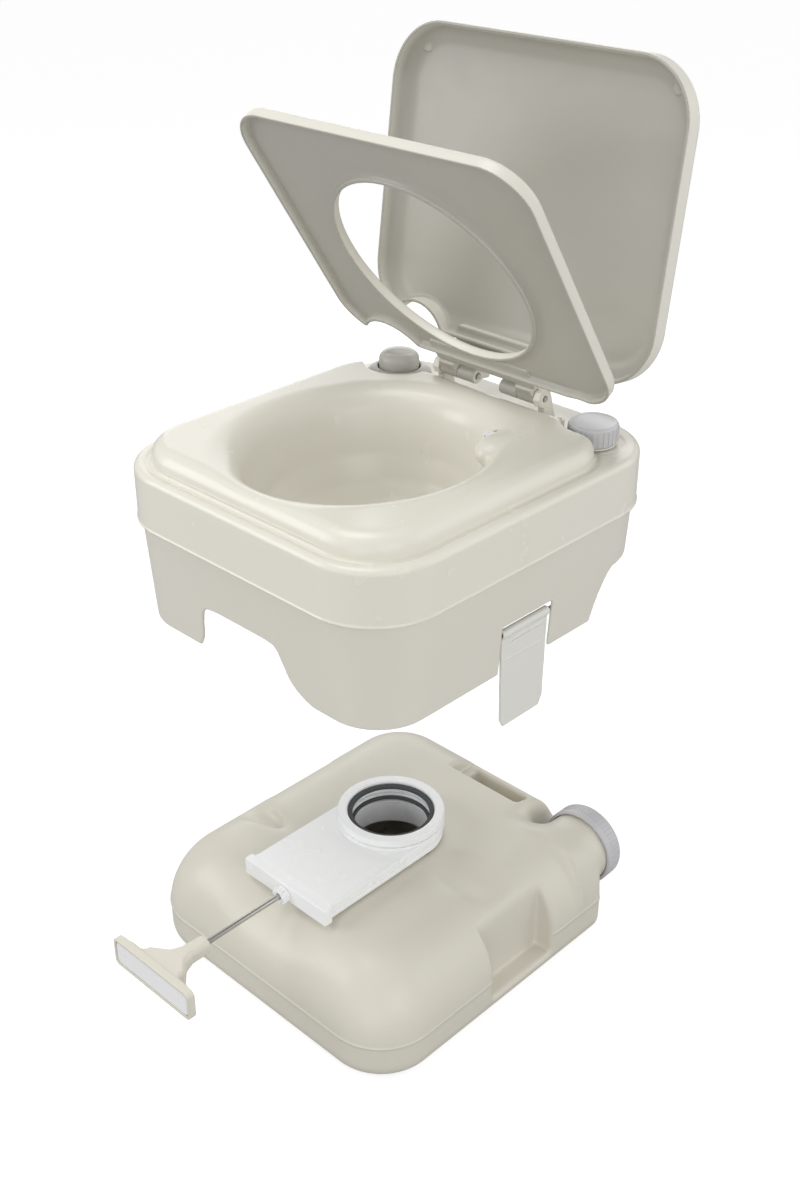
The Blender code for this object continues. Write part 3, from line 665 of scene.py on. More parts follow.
@dataclass
class Turning:
    """A piece turned on an axis from a profile that runs down its outer side.

    Attributes:
        name: Name of the piece.
        profile: Radius and height pairs.
        at: Where its axis starts.
        along: Direction of the axis.
        round_off: Radius given to the profile's corners.
        steps: Faces round the axis.
        closed: Whether the profile's ends meet off the axis.
    """

    name: str
    profile: Sequence[Pair]
    at: Point = (0.0, 0.0, 0.0)
    along: Point = (0.0, 0.0, 1.0)
    round_off: float = 0.0004
    steps: int = 72
    closed: bool = False

    ARC = 4

    def _rounded(self) -> list[Pair]:
        """The profile with its corners rounded.

        Returns:
            The profile with rounded corners.
        """
        points = [Vector(p) for p in self.profile]
        count = len(points)
        made: list[Pair] = []
        for i, point in enumerate(points):
            if not self.closed and i in (0, count - 1):
                made.append(tuple(point))
                continue
            before, after = points[i - 1] - point, points[(i + 1) % count] - point
            reach = min(self.round_off, 0.45 * before.length, 0.45 * after.length)
            a, b = point + before.normalized() * reach, point + after.normalized() * reach
            for step in range(self.ARC + 1):
                t = step / self.ARC
                made.append(tuple(a * (1 - t) ** 2 + point * 2 * t * (1 - t) + b * t * t))
        return made

    def build(self, finish: Finish) -> bpy.types.Object:
        """Turns the piece.

        Args:
            finish: The finish it gets.

        Returns:
            The piece, with its place in its mesh.
        """
        profile = self._rounded()
        bm = bmesh.new()
        rings = []
        for radius, height in profile:
            if radius < 1e-6:
                rings.append([bm.verts.new((0.0, 0.0, height))] * self.steps)
                continue
            rings.append([bm.verts.new((radius * math.cos(t), radius * math.sin(t), height))
                          for t in (2 * math.pi * i / self.steps for i in range(self.steps))])
        pairs = list(zip(rings, rings[1:] + (rings[:1] if self.closed else [])))
        for upper, lower in pairs:
            for i in range(self.steps):
                j = (i + 1) % self.steps
                corners = [upper[i], lower[i], lower[j], upper[j]]
                once = list(dict.fromkeys(corners))
                if len(once) > 2:
                    bm.faces.new(once)
        return finish_mesh(self.name, bm, finish, stand(self.at, self.along))


def stand(at: Point, along: Point = (0.0, 0.0, 1.0)) -> Matrix:
    """The matrix that stands a piece drawn on Z at a point, along a direction."""
    return Matrix.Translation(at) @ Vector(along).to_track_quat("Z", "Y").to_matrix().to_4x4()


def finish_mesh(name: str, bm: bmesh.types.BMesh, finish: Finish, place: Matrix,
                crease_angle: float = 32.0) -> bpy.types.Object:
    """Turns a bmesh into a finished piece.

    Args:
        name: Name of the piece.
        bm: The bmesh, which is used up.
        finish: The finish it gets.
        place: Where it goes.
        crease_angle: Edges sharper than this stay sharp, in degrees.

    Returns:
        The piece.
    """
    bmesh.ops.remove_doubles(bm, verts=bm.verts, dist=1e-7)
    bmesh.ops.recalc_face_normals(bm, faces=bm.faces)
    bmesh.ops.transform(bm, matrix=place, verts=bm.verts)
    mesh = bpy.data.meshes.new(name)
    bm.to_mesh(mesh)
    bm.free()
    mesh.polygons.foreach_set("use_smooth", [True] * len(mesh.polygons))
    mesh.set_sharp_from_angle(angle=math.radians(crease_angle))
    mesh.materials.append(finish.material())
    obj = bpy.data.objects.new(name, mesh)
    bpy.context.scene.collection.objects.link(obj)
    return obj


@dataclass
class RoundRow:
    """Equal small pieces set round an axis by a node tree.

    Attributes:
        name: Name of the finished piece.
        count: How many there are.
        radius: Their distance from the axis.
        unit_low: Lowest corner of one, drawn at the axis and facing +X.
        unit_high: Highest corner of one.
        edge: Bevel of its edges.
        at: Where the axis starts.
        along: Direction of the axis.
        sweep: Angle that the row covers, in degrees.
    """

    name: str
    count: int
    radius: float
    unit_low: Point
    unit_high: Point
    edge: float
    at: Point
    along: Point = (0.0, 0.0, 1.0)
    sweep: float = 360.0

    def _unit(self) -> bpy.types.Object:
        """One of the small pieces, drawn at the axis.

        Returns:
            The piece.
        """
        bm = bmesh.new()
        bmesh.ops.create_cube(bm, size=1.0)
        low, high = Vector(self.unit_low), Vector(self.unit_high)
        for v in bm.verts:
            v.co = Vector(a + (b - a) * (c + 0.5) for a, b, c in zip(low, high, v.co))
        bmesh.ops.bevel(bm, geom=list(bm.edges), offset=self.edge, segments=2, affect="EDGES", profile=0.5)
        mesh = bpy.data.meshes.new(self.name)
        bm.to_mesh(mesh)
        bm.free()
        obj = bpy.data.objects.new(self.name, mesh)
        bpy.context.scene.collection.objects.link(obj)
        return obj

    def _tree(self, material: bpy.types.Material) -> tuple[bpy.types.NodeTree, dict[str, str]]:
        """The node tree, and the identifiers of its named inputs.

        Args:
            material: What the pieces are made of.

        Returns:
            The tree and the identifiers.
        """
        tree = bpy.data.node_groups.new(f"row_of_{self.name}", "GeometryNodeTree")
        face = tree.interface
        face.new_socket("Geometry", in_out="INPUT", socket_type="NodeSocketGeometry")
        names = {}
        for label, kind in (("Count", "NodeSocketInt"), ("Radius", "NodeSocketFloat"),
                            ("Sweep", "NodeSocketFloat")):
            names[label] = face.new_socket(label, in_out="INPUT", socket_type=kind).identifier
        face.new_socket("Geometry", in_out="OUTPUT", socket_type="NodeSocketGeometry")
        given = tree.nodes.new("NodeGroupInput")
        wires = {s.name: Wire(tree, s) for s in given.outputs if s.name}
        index = add_node(tree, "GeometryNodeInputIndex", {}, {})
        angle = index * wires["Sweep"]
        share = add_node(tree, "ShaderNodeMath", {"operation": "DIVIDE"}, {0: angle, 1: wires["Count"]})
        cos = add_node(tree, "ShaderNodeMath", {"operation": "COSINE"}, {0: share})
        sin = add_node(tree, "ShaderNodeMath", {"operation": "SINE"}, {0: share})
        spot = add_node(tree, "ShaderNodeCombineXYZ", {},
                        {0: cos * wires["Radius"], 1: sin * wires["Radius"]})
        turn = add_node(tree, "ShaderNodeCombineXYZ", {}, {2: share})
        points = add_node(tree, "GeometryNodePoints", {}, {"Count": wires["Count"], "Position": spot})
        row = add_node(tree, "GeometryNodeInstanceOnPoints", {},
                       {"Points": points, "Instance": wires["Geometry"], "Rotation": turn})
        real = add_node(tree, "GeometryNodeRealizeInstances", {}, {"Geometry": row})
        dressed = add_node(tree, "GeometryNodeSetMaterial", {}, {"Geometry": real, "Material": material})
        end = tree.nodes.new("NodeGroupOutput")
        tree.links.new(dressed.socket, end.inputs[0])
        return tree, names

    def build(self, finish: Finish) -> bpy.types.Object:
        """Sets the row out and makes it one plain mesh.

        Args:
            finish: The finish it gets.

        Returns:
            The piece, with its place in its mesh.
        """
        obj = self._unit()
        tree, names = self._tree(finish.material())
        step = obj.modifiers.new("row", "NODES")
        step.node_group = tree
        step[names["Count"]] = self.count
        step[names["Radius"]] = self.radius
        step[names["Sweep"]] = math.radians(self.sweep)
        mesh = bake_modifiers(obj)
        mesh.transform(stand(self.at, self.along))
        mesh.update()
        return obj


def settle_piece(obj: bpy.types.Object, body: Body, slot: str, *nodes: str) -> bpy.types.Object:
    """Sets a finished piece on its body, and hides the CAD nodes it stands for.

    Args:
        obj: The piece.
        body: The body that it rides on.
        slot: The record's material slot; not used.
        nodes: CAD nodes that it replaces.

    Returns:
        The piece.
    """
    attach(obj, body.value)
    if nodes:
        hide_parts(*nodes)
    LOG.info("%s rides on %s: %d faces", obj.name, body.value, len(obj.data.polygons))
    return obj


def middle(node: str) -> Vector:
    """The centre of a CAD node's box."""
    low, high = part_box(node)
    return (low + high) / 2


# ---- the waste tank -----------------------------------------------------------------------------------


@dataclass
class WasteTank:
    """The blow-moulded tank with its spout and carry handle.

    Attributes:
        half: Half width and half depth.
        corner: Radius of the upright corners.
        shoulder_z: Where the sides start to round in.
        shoulder_in: How far the shoulder comes in.
        height: Height of the flat top.
        seam_z: Height of the moulding's parting line.
        recess_y: Ends of the latch recesses.
        recess_x: How far from the middle they start.
        spout: X and Z of the spout's axis.
        recess_z: Their lower end.
        corner_x: Where the corner is cut back for the spout.
        neck: Radius of the spout.
        neck_flare: How much wider the spout is at its root.
        neck_start: Where the spout leaves the tank.
        neck_end: Where its cap sits.
        carry_x: Ends of the carry handle.
        carry_end: How far its ends reach in.
        bore: Radius of the hole that the valve sits in.
    """

    half: Pair = (0.184, 0.201)
    corner: float = 0.063
    shoulder_z: float = 0.046
    shoulder_in: float = 0.070
    height: float = 0.120
    seam_z: float = 0.0440
    recess_y: Pair = (-0.034, 0.061)
    recess_x: float = 0.160
    recess_z: float = 0.020
    corner_x: float = 0.080
    spout: Pair = (0.132, 0.074)
    neck: float = 0.040
    neck_flare: float = 0.010
    neck_start: float = 0.112
    neck_end: float = 0.174
    carry_x: Pair = (-0.036, 0.064)
    carry_end: float = 0.012
    bore: float = 0.0492

    BEYOND = 0.3
    ROD_SCOOP = Egg((0.0, -0.232, 0.140), (0.080, 0.085, 0.046), 0.050, 0.030)
    DENT = Egg((0.118, 0.004, 0.121), (0.040, 0.022, 0.010), 0.012, 0.010)
    RIPPLE = Egg((-0.128, -0.075, 0.112), (0.030, 0.012, 0.007), 0.008, 0.012)

    def body(self, x: Array, y: Array, z: Array) -> Array:
        """The tank's outside without its hollows.

        Args:
            x: First coordinate.
            y: Second coordinate.
            z: Third coordinate.

        Returns:
            Signed distance, negative inside.
        """
        rounder = self.corner + 0.25 * np.clip(z - self.shoulder_z, 0.0, 0.08)
        edge = plan(x, y, self.half, rounder, soft=0.03)
        rise = self.height - self.shoulder_z
        side = np.maximum(edge + self.shoulder_in, 0.0) / self.shoulder_in
        up = np.maximum(z - self.shoulder_z, 0.0) / rise
        solid = (np.hypot(side, up) - 1.0) * rise
        bead = 0.0011 * np.exp(-((z - self.seam_z) / 0.0016) ** 2) * (edge > -0.01)
        return overlap(solid - bead, -z, 0.020)

    def shape(self, x: Array, y: Array, z: Array) -> Array:
        """Distance to the tank's skin.

        Args:
            x: First coordinate.
            y: Second coordinate.
            z: Third coordinate.

        Returns:
            Signed distance, negative inside.
        """
        f = self.body(x, y, z)
        f = self.ROD_SCOOP.cut(f, x, y, z)
        for sx in (-1, 1):
            recess = block(sx * x, y, z, (self.recess_x, self.recess_y[0], self.recess_z),
                           (self.BEYOND, self.recess_y[1], self.BEYOND), 0.004)
            f = carve(f, recess, 0.007)
        f = self.DENT.cut(f, x, y, z)
        f = self.RIPPLE.cut(f, x, y, z)
        corner = block(x, y, z, (self.corner_x, 0.150, -self.BEYOND), (self.BEYOND,) * 3, 0.006)
        f = carve(f, corner, 0.010)
        above = (y - 0.118) * 0.68 + (z - 0.121) * 0.733
        slope = overlap(overlap(-above, self.corner_x - x, 0.012), 0.082 - z, 0.010)
        f = carve(f, slope, 0.016)
        along = np.clip((y - self.neck_start) / 0.052, 0.0, 1.0)
        radius = self.neck + self.neck_flare * (1.0 - along) ** 2
        u, v = x - self.spout[0], z - self.spout[1]
        neck = thick(np.hypot(u, v) - radius, y, self.neck_start, self.neck_end, 0.0015)
        f = blend_in(f, overlap(neck, z - self.height + 0.001, 0.010), 0.014)
        left, right = self.carry_x
        step = block(x, y, z, (left, 0.138, 0.100), (right, self.BEYOND, self.BEYOND), 0.004)
        f = carve(f, step, 0.006)
        left, right = left + self.carry_end, right - self.carry_end
        slot = block(x, y, z, (left, 0.146, -self.BEYOND), (right, 0.172, self.BEYOND), 0.004)
        fingers = block(x, y, z, (left, 0.148, 0.020), (right, self.BEYOND, 0.078), 0.006)
        f = carve(carve(f, slot, 0.005), fingers, 0.006)
        return self._hollow(f, x, y, z)

    def _hollow(self, f: Array, x: Array, y: Array, z: Array) -> Array:
        """Takes the waste space, the valve's opening and the spout's bore out of the tank.

        Args:
            f: Distance to the shape so far.
            x: First coordinate.
            y: Second coordinate.
            z: Third coordinate.

        Returns:
            Signed distance, negative inside.
        """
        r = np.hypot(x, y)
        space = block(x, y, z, (-0.108, -0.108, 0.006), (0.108, 0.108, 0.094), 0.012)
        space = blend_in(space, thick(r - 0.060, z, 0.030, 0.110, 0.003), 0.002)
        space = blend_in(space, thick(r - self.bore, z, 0.100, 0.200, 0.001), 0.001)
        u, v = x - self.spout[0], z - self.spout[1]
        bore = thick(np.hypot(u, v) - self.neck + 0.004, y, 0.132, 0.300, 0.001)
        return carve(carve(f, space, 0.001), bore, 0.002)

    def build(self) -> None:
        """Builds the tank's skin and hides its CAD node."""
        skin = Moulding("tank_shell", self.shape, (-0.190, -0.208, -0.006), (0.190, 0.208, 0.126),
                        0.002, 0.42)
        settle_piece(skin.build(TANK), Body.TANK, "tank", "waste_tank")


# ---- gate valve ---------------------------------------------------------------------------------------


@dataclass
class GateValve:
    """The white sliding valve on the tank, with its rod and pull handle.

    Attributes:
        bore: Radius of the way through.
        ring: Outer radius of the socket ring.
        ring_top: Height of the ring's top.
        plate_half: Half width of the housing.
        plate: Front end, underside and top of the housing.
        blade_z: Height of the blade and its rod.
        handle_half: Half width and half height of the handle's face.
        handle_y: Front of the handle's face.
    """

    bore: float = 0.0437
    ring: float = 0.0585
    ring_top: float = 0.153
    plate_half: float = 0.0575
    plate: Point = (-0.148, 0.1287, 0.140)
    blade_z: float = 0.1302
    handle_half: Pair = (0.058, 0.0165)
    handle_y: float = -0.328

    def _housing_plan(self, x: Array, y: Array, half: float, front: float) -> Array:
        """Outline of the housing: square in front, round about the bore behind.

        Args:
            x: First coordinate.
            y: Second coordinate.
            half: Half width.
            front: Where the front end lies.

        Returns:
            Signed distance, negative inside.
        """
        round_end = np.hypot(x, y) - half
        straight = np.maximum(np.abs(x) - half, np.maximum(front - y, y))
        return np.minimum(round_end, straight)

    def _rod_way(self, x: Array, y: Array, z: Array) -> Array:
        """The channel that the rod slides in."""
        return np.maximum(np.abs(x) - 0.0040, np.maximum(np.abs(z - self.blade_z) - 0.0038, y + 0.047))

    def top_shape(self, x: Array, y: Array, z: Array) -> Array:
        """Distance to the upper housing and its socket ring.

        Args:
            x: First coordinate.
            y: Second coordinate.
            z: Third coordinate.

        Returns:
            Signed distance, negative inside.
        """
        r = np.hypot(x, y)
        front, under, upper = self.plate
        f = thick(self._housing_plan(x, y, self.plate_half, front), z, under, upper, 0.0010)
        ring = thick(r - self.ring, z, 0.1340, self.ring_top, 0.0012)
        band = thick(np.abs(r - self.ring) - 0.0010, z, 0.1432, 0.1442, 0.0003)
        ring = carve(ring, band, 0.0006)
        f = blend_in(f, ring, 0.0016)
        flange = block(x, y, z, (-0.0615, -0.158, 0.1215), (0.0615, -0.1474, 0.1415), 0.0012)
        f = blend_in(f, flange, 0.0010)
        lip = block(x, y, z, (-0.0575, -0.147, 0.1385), (0.0575, -0.1445, 0.1405), 0.0006)
        f = blend_in(f, lip, 0.0015)
        slide = thick(self._housing_plan(x, y, 0.0498, -0.1475), z, 0.120, 0.1320, 0.0004)
        f = carve(f, slide, 0.0004)
        f = carve(f, thick(r - 0.0478, z, 0.1385, 0.2, 0.0004), 0.0022)
        f = carve(f, thick(r - self.bore, z, 0.09, 0.2, 0.0004), 0.0012)
        return carve(f, self._rod_way(x, y, z), 0.0004)

    def base_shape(self, x: Array, y: Array, z: Array) -> Array:
        """Distance to the lower housing and the collar that goes through the tank's top.

        Args:
            x: First coordinate.
            y: Second coordinate.
            z: Third coordinate.

        Returns:
            Signed distance, negative inside.
        """
        r = np.hypot(x, y)
        outline = self._housing_plan(x, y, self.plate_half, self.plate[0] + 0.0010)
        f = thick(outline, z, 0.1224, self.plate[1] - 0.0003, 0.0008)
        f = blend_in(f, thick(r - 0.0485, z, 0.100, 0.127, 0.0006), 0.0008)
        f = carve(f, thick(r - self.bore, z, 0.09, 0.2, 0.0004), 0.0010)
        return carve(f, self._rod_way(x, y, z), 0.0004)

    def handle_shape(self, x: Array, y: Array, z: Array) -> Array:
        """Distance to the pull handle, drawn at the rod's height.

        Args:
            x: First coordinate.
            y: Second coordinate.
            z: Third coordinate.

        Returns:
            Signed distance, negative inside.
        """
        stations = (-0.3245, -0.3170, -0.3090, -0.2980, -0.2860, -0.2625)
        wide = np.interp(y, stations, (0.0550, 0.0420, 0.0260, 0.0135, 0.0092, 0.0088))
        tall = np.interp(y, stations, (0.0145, 0.0134, 0.0116, 0.0096, 0.0085, 0.0082))
        neck = plan(x, z, (wide, tall), 0.0060) / 1.6
        neck = overlap(neck, np.maximum(y + 0.2625, -0.3270 - y), 0.0020)
        face = thick(plan(x, z, self.handle_half, 0.0060), y, self.handle_y - 0.0030, -0.3225, 0.0009)
        f = blend_in(neck, face, 0.0030)
        well = (self.handle_half[0] - 0.0032, self.handle_half[1] - 0.0032)
        f = carve(f, thick(plan(x, z, well, 0.0040), y, -0.36, self.handle_y - 0.0005, 0.0003), 0.0006)
        finger = thick(plan(np.abs(x) - 0.040, z, (0.013, 0.30), 0.006), y, -0.318, -0.2, 0.004)
        f = carve(f, finger, 0.004)
        return carve(f, thick(np.hypot(x, z) - 0.0034, y, -0.2745, -0.2, 0.0002), 0.0004)

    def build(self) -> None:
        """Builds the valve, its seals, rod and handle."""
        self._build_housing()
        self._build_gate()

    def _build_housing(self) -> None:
        """Builds what stays on the tank."""
        top = Moulding("valve_housing", self.top_shape, (-0.066, -0.162, 0.118), (0.066, 0.064, 0.156),
                       0.0011, 0.5)
        settle_piece(top.build(VALVE), Body.TANK, "valve_white", "valve_top")
        base = Moulding("valve_underside", self.base_shape, (-0.062, -0.152, 0.096), (0.062, 0.062, 0.132),
                        0.0013, 0.45)
        settle_piece(base.build(VALVE), Body.TANK, "valve_white", "valve_base")
        for name, node, inner, outer, low, high in (
                ("upper_seal", "upper_lip_seal", 0.0418, 0.0472, 0.1450, 0.1502),
                ("lower_seal", "lower_lip_seal", 0.0398, 0.0433, 0.1326, 0.1370)):
            mid = (low + high) / 2
            profile = [(inner + 0.0010, high), (outer, high), (outer, low), (inner + 0.0010, low),
                       (inner, mid)]
            seal = Turning(name, profile, round_off=0.0012, steps=96, closed=True)
            settle_piece(seal.build(RUBBER), Body.TANK, "black_rubber", node)
        guide_at = (0.0, -0.1583, self.blade_z)
        profile = [(0.0036, 0.0), (0.0095, 0.0), (0.0095, 0.0030), (0.0074, 0.0034), (0.0074, 0.0078),
                   (0.0036, 0.0080)]
        guide = Turning("rod_guide_nut", profile[::-1], guide_at, (0, -1, 0), 0.0005, 48, True)
        settle_piece(guide.build(VALVE), Body.TANK, "valve_white", "rod_guide")
        teeth = RoundRow("rod_guide_teeth", 8, 0.0080, (-0.0014, -0.0015, 0.0), (0.0015, 0.0015, 0.0076),
                         0.0004, guide_at, (0, -1, 0))
        settle_piece(teeth.build(VALVE), Body.TANK, "valve_white")

    def _build_gate(self) -> None:
        """Builds what slides with the handle."""
        stand_at = Matrix.Translation((0.0, 0.0, self.blade_z))
        handle = Moulding("pull_handle", self.handle_shape, (-0.062, -0.335, -0.020), (0.062, -0.258, 0.020),
                          0.0009, 0.5, stand_at)
        settle_piece(handle.build(TANK), Body.GATE, "tank", "valve_handle")
        low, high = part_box("handle_panel")
        panel = Moulding("handle_blank_panel", lambda x, y, z: thick(
            plan(x, z - self.blade_z, (high.x, high.z - self.blade_z), 0.0036), y, low.y, high.y, 0.0004),
            tuple(low - Vector((0.003,) * 3)), tuple(high + Vector((0.003,) * 3)), 0.0008, 0.2)
        settle_piece(panel.build(LABEL), Body.GATE, "valve_white", "handle_panel")
        low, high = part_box("valve_rod")
        profile = [(0.0, 0.0), (0.0024, 0.0), (0.0030, 0.0006), (0.0030, high.y - low.y - 0.0004),
                   (0.0, high.y - low.y)]
        rod = Turning("pull_rod", profile[::-1], (0.0, low.y, self.blade_z), (0, 1, 0), 0.0002, 40)
        settle_piece(rod.build(STEEL), Body.GATE, "steel", "valve_rod")


# ---- caps ---------------------------------------------------------------------------------------------


@dataclass
class ScrewCaps:
    """The two grey screw caps, with their grip ribs.

    Attributes:
        spout_at: Where the spout's cap sits.
        filler_at: Where the filler's cap sits.
    """

    spout_at: Point = (0.132, 0.174, 0.074)
    filler_at: Point = (0.128, 0.148, 0.580)

    def build(self) -> None:
        """Builds both caps and their ribs."""
        profile = [(0.0, 0.0168), (0.0250, 0.0168), (0.0300, 0.0180), (0.0395, 0.0185), (0.0425, 0.0168),
                   (0.0440, 0.0140), (0.0440, 0.0008), (0.0446, 0.0002), (0.0446, -0.0056), (0.0438, -0.0060),
                   (0.0408, -0.0060), (0.0408, 0.0027), (0.0, 0.0027)]
        cap = Turning("spout_cap_shell", profile, self.spout_at, (0, 1, 0), 0.0010, 128)
        settle_piece(cap.build(CAP), Body.SPOUT_CAP, "cap_grey", "spout_cap")
        grip = RoundRow("spout_cap_ribs", 60, 0.0440, (-0.0007, -0.0006, 0.0020), (0.0005, 0.0006, 0.0136),
                        0.0003, self.spout_at, (0, 1, 0))
        settle_piece(grip.build(CAP), Body.SPOUT_CAP, "cap_grey")
        profile = [(0.0, 0.0208), (0.0190, 0.0208), (0.0205, 0.0215), (0.0228, 0.0213), (0.0238, 0.0198),
                   (0.0240, 0.0180), (0.0240, 0.0030), (0.0235, 0.0025), (0.0190, 0.0025), (0.0190, 0.0108),
                   (0.0208, 0.0108), (0.0208, 0.0130), (0.0, 0.0130)]
        cap = Turning("filler_cap_shell", profile, self.filler_at, round_off=0.0006, steps=112)
        settle_piece(cap.build(CAP), Body.FILLER_CAP, "cap_grey", "filler_cap")
        grip = RoundRow("filler_cap_ribs", 28, 0.0240, (-0.0008, -0.0011, 0.0034), (0.0008, 0.0011, 0.0182),
                        0.0004, self.filler_at)
        settle_piece(grip.build(CAP), Body.FILLER_CAP, "cap_grey")


# ---- top section --------------------------------------------------------------------------------------


@dataclass
class TopSection:
    """The deck with its bowl, and the skirt below it.

    Attributes:
        ledge_z: Height of the ledge round the deck; shapes are given from there.
        band: Half width and half depth of the band.
        band_bottom: Lower edge of the band.
        pad: Half width and half depth of the raised pad.
        pad_y: Where the pad's middle lies.
        pad_top: Height of the pad.
        wall: Thickness of the plastic.
        pump: X and Y of the flush pump.
        filler: X and Y of the filler.
        skirt_bottom: Lower edge of the skirt.
        floor_z: Underside of the flush water's floor.
    """

    ledge_z: float = 0.580
    band: Pair = (0.181, 0.202)
    band_bottom: float = -0.056
    pad: Pair = (0.164, 0.165)
    pad_y: float = -0.022
    pad_top: float = 0.021
    wall: float = 0.0036
    pump: Pair = (-0.118, 0.135)
    filler: Pair = (0.128, 0.148)
    skirt_bottom: float = -0.165
    floor_z: float = -0.1035

    JET_HOOD = Egg((0.080, 0.062, 0.0035), (0.018, 0.024, 0.0145), 0.0145, 0.006)
    BOWL_Z = (-0.1200, -0.0935, -0.0900, -0.0820, -0.0660, -0.0420, -0.0150, 0.0080, 0.0300)
    BOWL_X = (0.0365, 0.0368, 0.0430, 0.0610, 0.0800, 0.0945, 0.1035, 0.1105, 0.1175)
    BOWL_Y = (0.0365, 0.0368, 0.0430, 0.0630, 0.0860, 0.1060, 0.1185, 0.1270, 0.1335)
    BOWL_MID = (0.0, 0.0, 0.0, -0.0070, -0.0160, -0.0250, -0.0300, -0.0320, -0.0320)

    def _bowl(self, x: Array, y: Array, z: Array) -> Array:
        """Distance to the hollow of the bowl.

        Args:
            x: First coordinate.
            y: Second coordinate.
            z: Third coordinate.

        Returns:
            Signed distance, negative inside.
        """
        levels = np.linspace(self.BOWL_Z[0], self.BOWL_Z[-1], 200)
        ease = np.ones(9) / 9.0
        curves = []
        for row in (self.BOWL_X, self.BOWL_Y, self.BOWL_MID):
            raw = np.interp(levels, self.BOWL_Z, row)
            curves.append(np.convolve(np.pad(raw, 4, mode="edge"), ease, mode="valid"))
        wide, deep, mid = (np.interp(z, levels, c) for c in curves)
        lean = np.interp(z, levels, np.gradient(curves[0], levels))
        f = (np.hypot(x / wide, (y - mid) / deep) - 1.0) * np.minimum(wide, deep)
        return f / np.sqrt(1.0 + lean ** 2)

    def deck_shape(self, x: Array, y: Array, z: Array) -> Array:
        """Distance to the deck's shell.

        Args:
            x: First coordinate.
            y: Second coordinate.
            z: Third coordinate.

        Returns:
            Signed distance, negative inside.
        """
        edge = plan(x, y, self.band, 0.0725)
        pad_edge = plan(x, y - self.pad_y, self.pad, 0.060)
        solid = thick(edge, z, -0.4, 0.0, 0.0065)
        pad = thick(pad_edge, z, -0.4, self.pad_top, 0.0165)
        solid = blend_in(solid, pad, 0.0025)
        groove = np.hypot(pad_edge - 0.0036, z - 0.0010) - 0.0026
        solid = carve(solid, groove, 0.0020)
        f = carve(solid, self._bowl(x, y, z), 0.0240)
        f = self.JET_HOOD.add(f, x, y, z)
        for (px, py), radius in ((self.pump, 0.0370), (self.filler, 0.0300)):
            pocket = thick(np.hypot(x - px, y - py) - radius, z, 0.0, 0.3, 0.0004)
            f = carve(f, pocket, 0.0040)
        floor = np.where(edge > -0.02, self.band_bottom, -0.119)
        f = np.maximum(f, -(f + self.wall))
        f = overlap(f, floor - z, 0.0012)
        f = blend_in(f, np.hypot(edge + 0.0004, z - self.band_bottom - 0.0014) - 0.0014, 0.0010)
        for (px, py), radius in ((self.pump, 0.0205), (self.filler, 0.0190)):
            f = carve(f, thick(np.hypot(x - px, y - py) - radius, z, -0.02, 0.02, 0.001), 0.001)
        jet = Vector((0.596, 0.803)).normalized()
        across = np.hypot((x - 0.060) * jet.y - (y - 0.0747) * jet.x, z - 0.006)
        reach = (x - 0.060) * jet.x + (y - 0.0747) * jet.y
        return carve(f, np.maximum(across - 0.0064, np.abs(reach) - 0.014), 0.0015)

    def skirt_shape(self, x: Array, y: Array, z: Array) -> Array:
        """Distance to the skirt's shell and its floor.

        Args:
            x: First coordinate.
            y: Second coordinate.
            z: Third coordinate.

        Returns:
            Signed distance, negative inside.
        """
        down = np.clip((self.band_bottom - z) / 0.109, 0.0, 1.2)
        edge = plan(x, y, (0.1772 - 0.0066 * down, 0.1982 - 0.0106 * down), 0.0690 - 0.0140 * down)
        f = np.maximum(edge, -(edge + 0.0034))
        f = overlap(f, np.maximum(z + 0.046, self.skirt_bottom - z), 0.0020)
        for sx in (-1, 1):
            for y0 in (-0.0400, 0.0600):
                boss = block(sx * x, y, z, (0.1600, y0, -0.1300), (0.1715, y0 + 0.0090, -0.1165), 0.0012)
                f = blend_in(f, boss, 0.0015)
        front = outline_area(x, z, rounded_path(ARCH))
        f = carve(f, np.maximum(front, y + 0.100), 0.0018)
        side = outline_area(y, z, rounded_path(SPOUT_SIDE, 1))
        f = carve(f, np.maximum(side, 0.078 - x), 0.0018)
        for sx in (-1, 1):
            cut = block(sx * x, y, z, (0.150, -0.031, -0.3), (0.3, 0.041, -0.1135), 0.0025)
            f = carve(f, cut, 0.0018)
        floor = overlap(np.abs(z - self.floor_z - 0.0015) - 0.0015, edge + 0.0015, 0.0005)
        f = np.minimum(f, floor)
        return carve(f, thick(np.hypot(x, y) - 0.0425, z, -0.2, 0.0, 0.001), 0.0008)

    def build(self) -> None:
        """Builds the deck and the skirt."""
        up = Matrix.Translation((0.0, 0.0, self.ledge_z))
        deck = Moulding("deck_and_bowl", self.deck_shape, (-0.185, -0.206, -0.123), (0.185, 0.206, 0.026),
                        0.0019, 0.38, up)
        settle_piece(deck.build(DECK), Body.TOP, "deck", "bowl_deck")
        skirt = Moulding("skirt_shell", self.skirt_shape, (-0.181, -0.202, -0.170), (0.181, 0.202, -0.042),
                         0.0019, 0.38, up)
        settle_piece(skirt.build(SKIRT), Body.TOP, "skirt", "skirt")


# Outlines of the skirt's openings, down from the ledge: the front arch in X and Z, the spout's in Y and Z.
ARCH = ((-0.078, -0.22), (-0.070, -0.165), (-0.063, -0.155), (-0.060, -0.130), (-0.056, -0.120),
        (-0.047, -0.115), (0.036, -0.115), (0.045, -0.119), (0.050, -0.130), (0.058, -0.148),
        (0.072, -0.160), (0.094, -0.167), (0.094, -0.22))
SPOUT_SIDE = ((0.100, -0.22), (0.104, -0.165), (0.112, -0.143), (0.124, -0.120), (0.137, -0.110),
              (0.32, -0.110), (0.32, -0.22))


# ---- seat and lid -------------------------------------------------------------------------------------


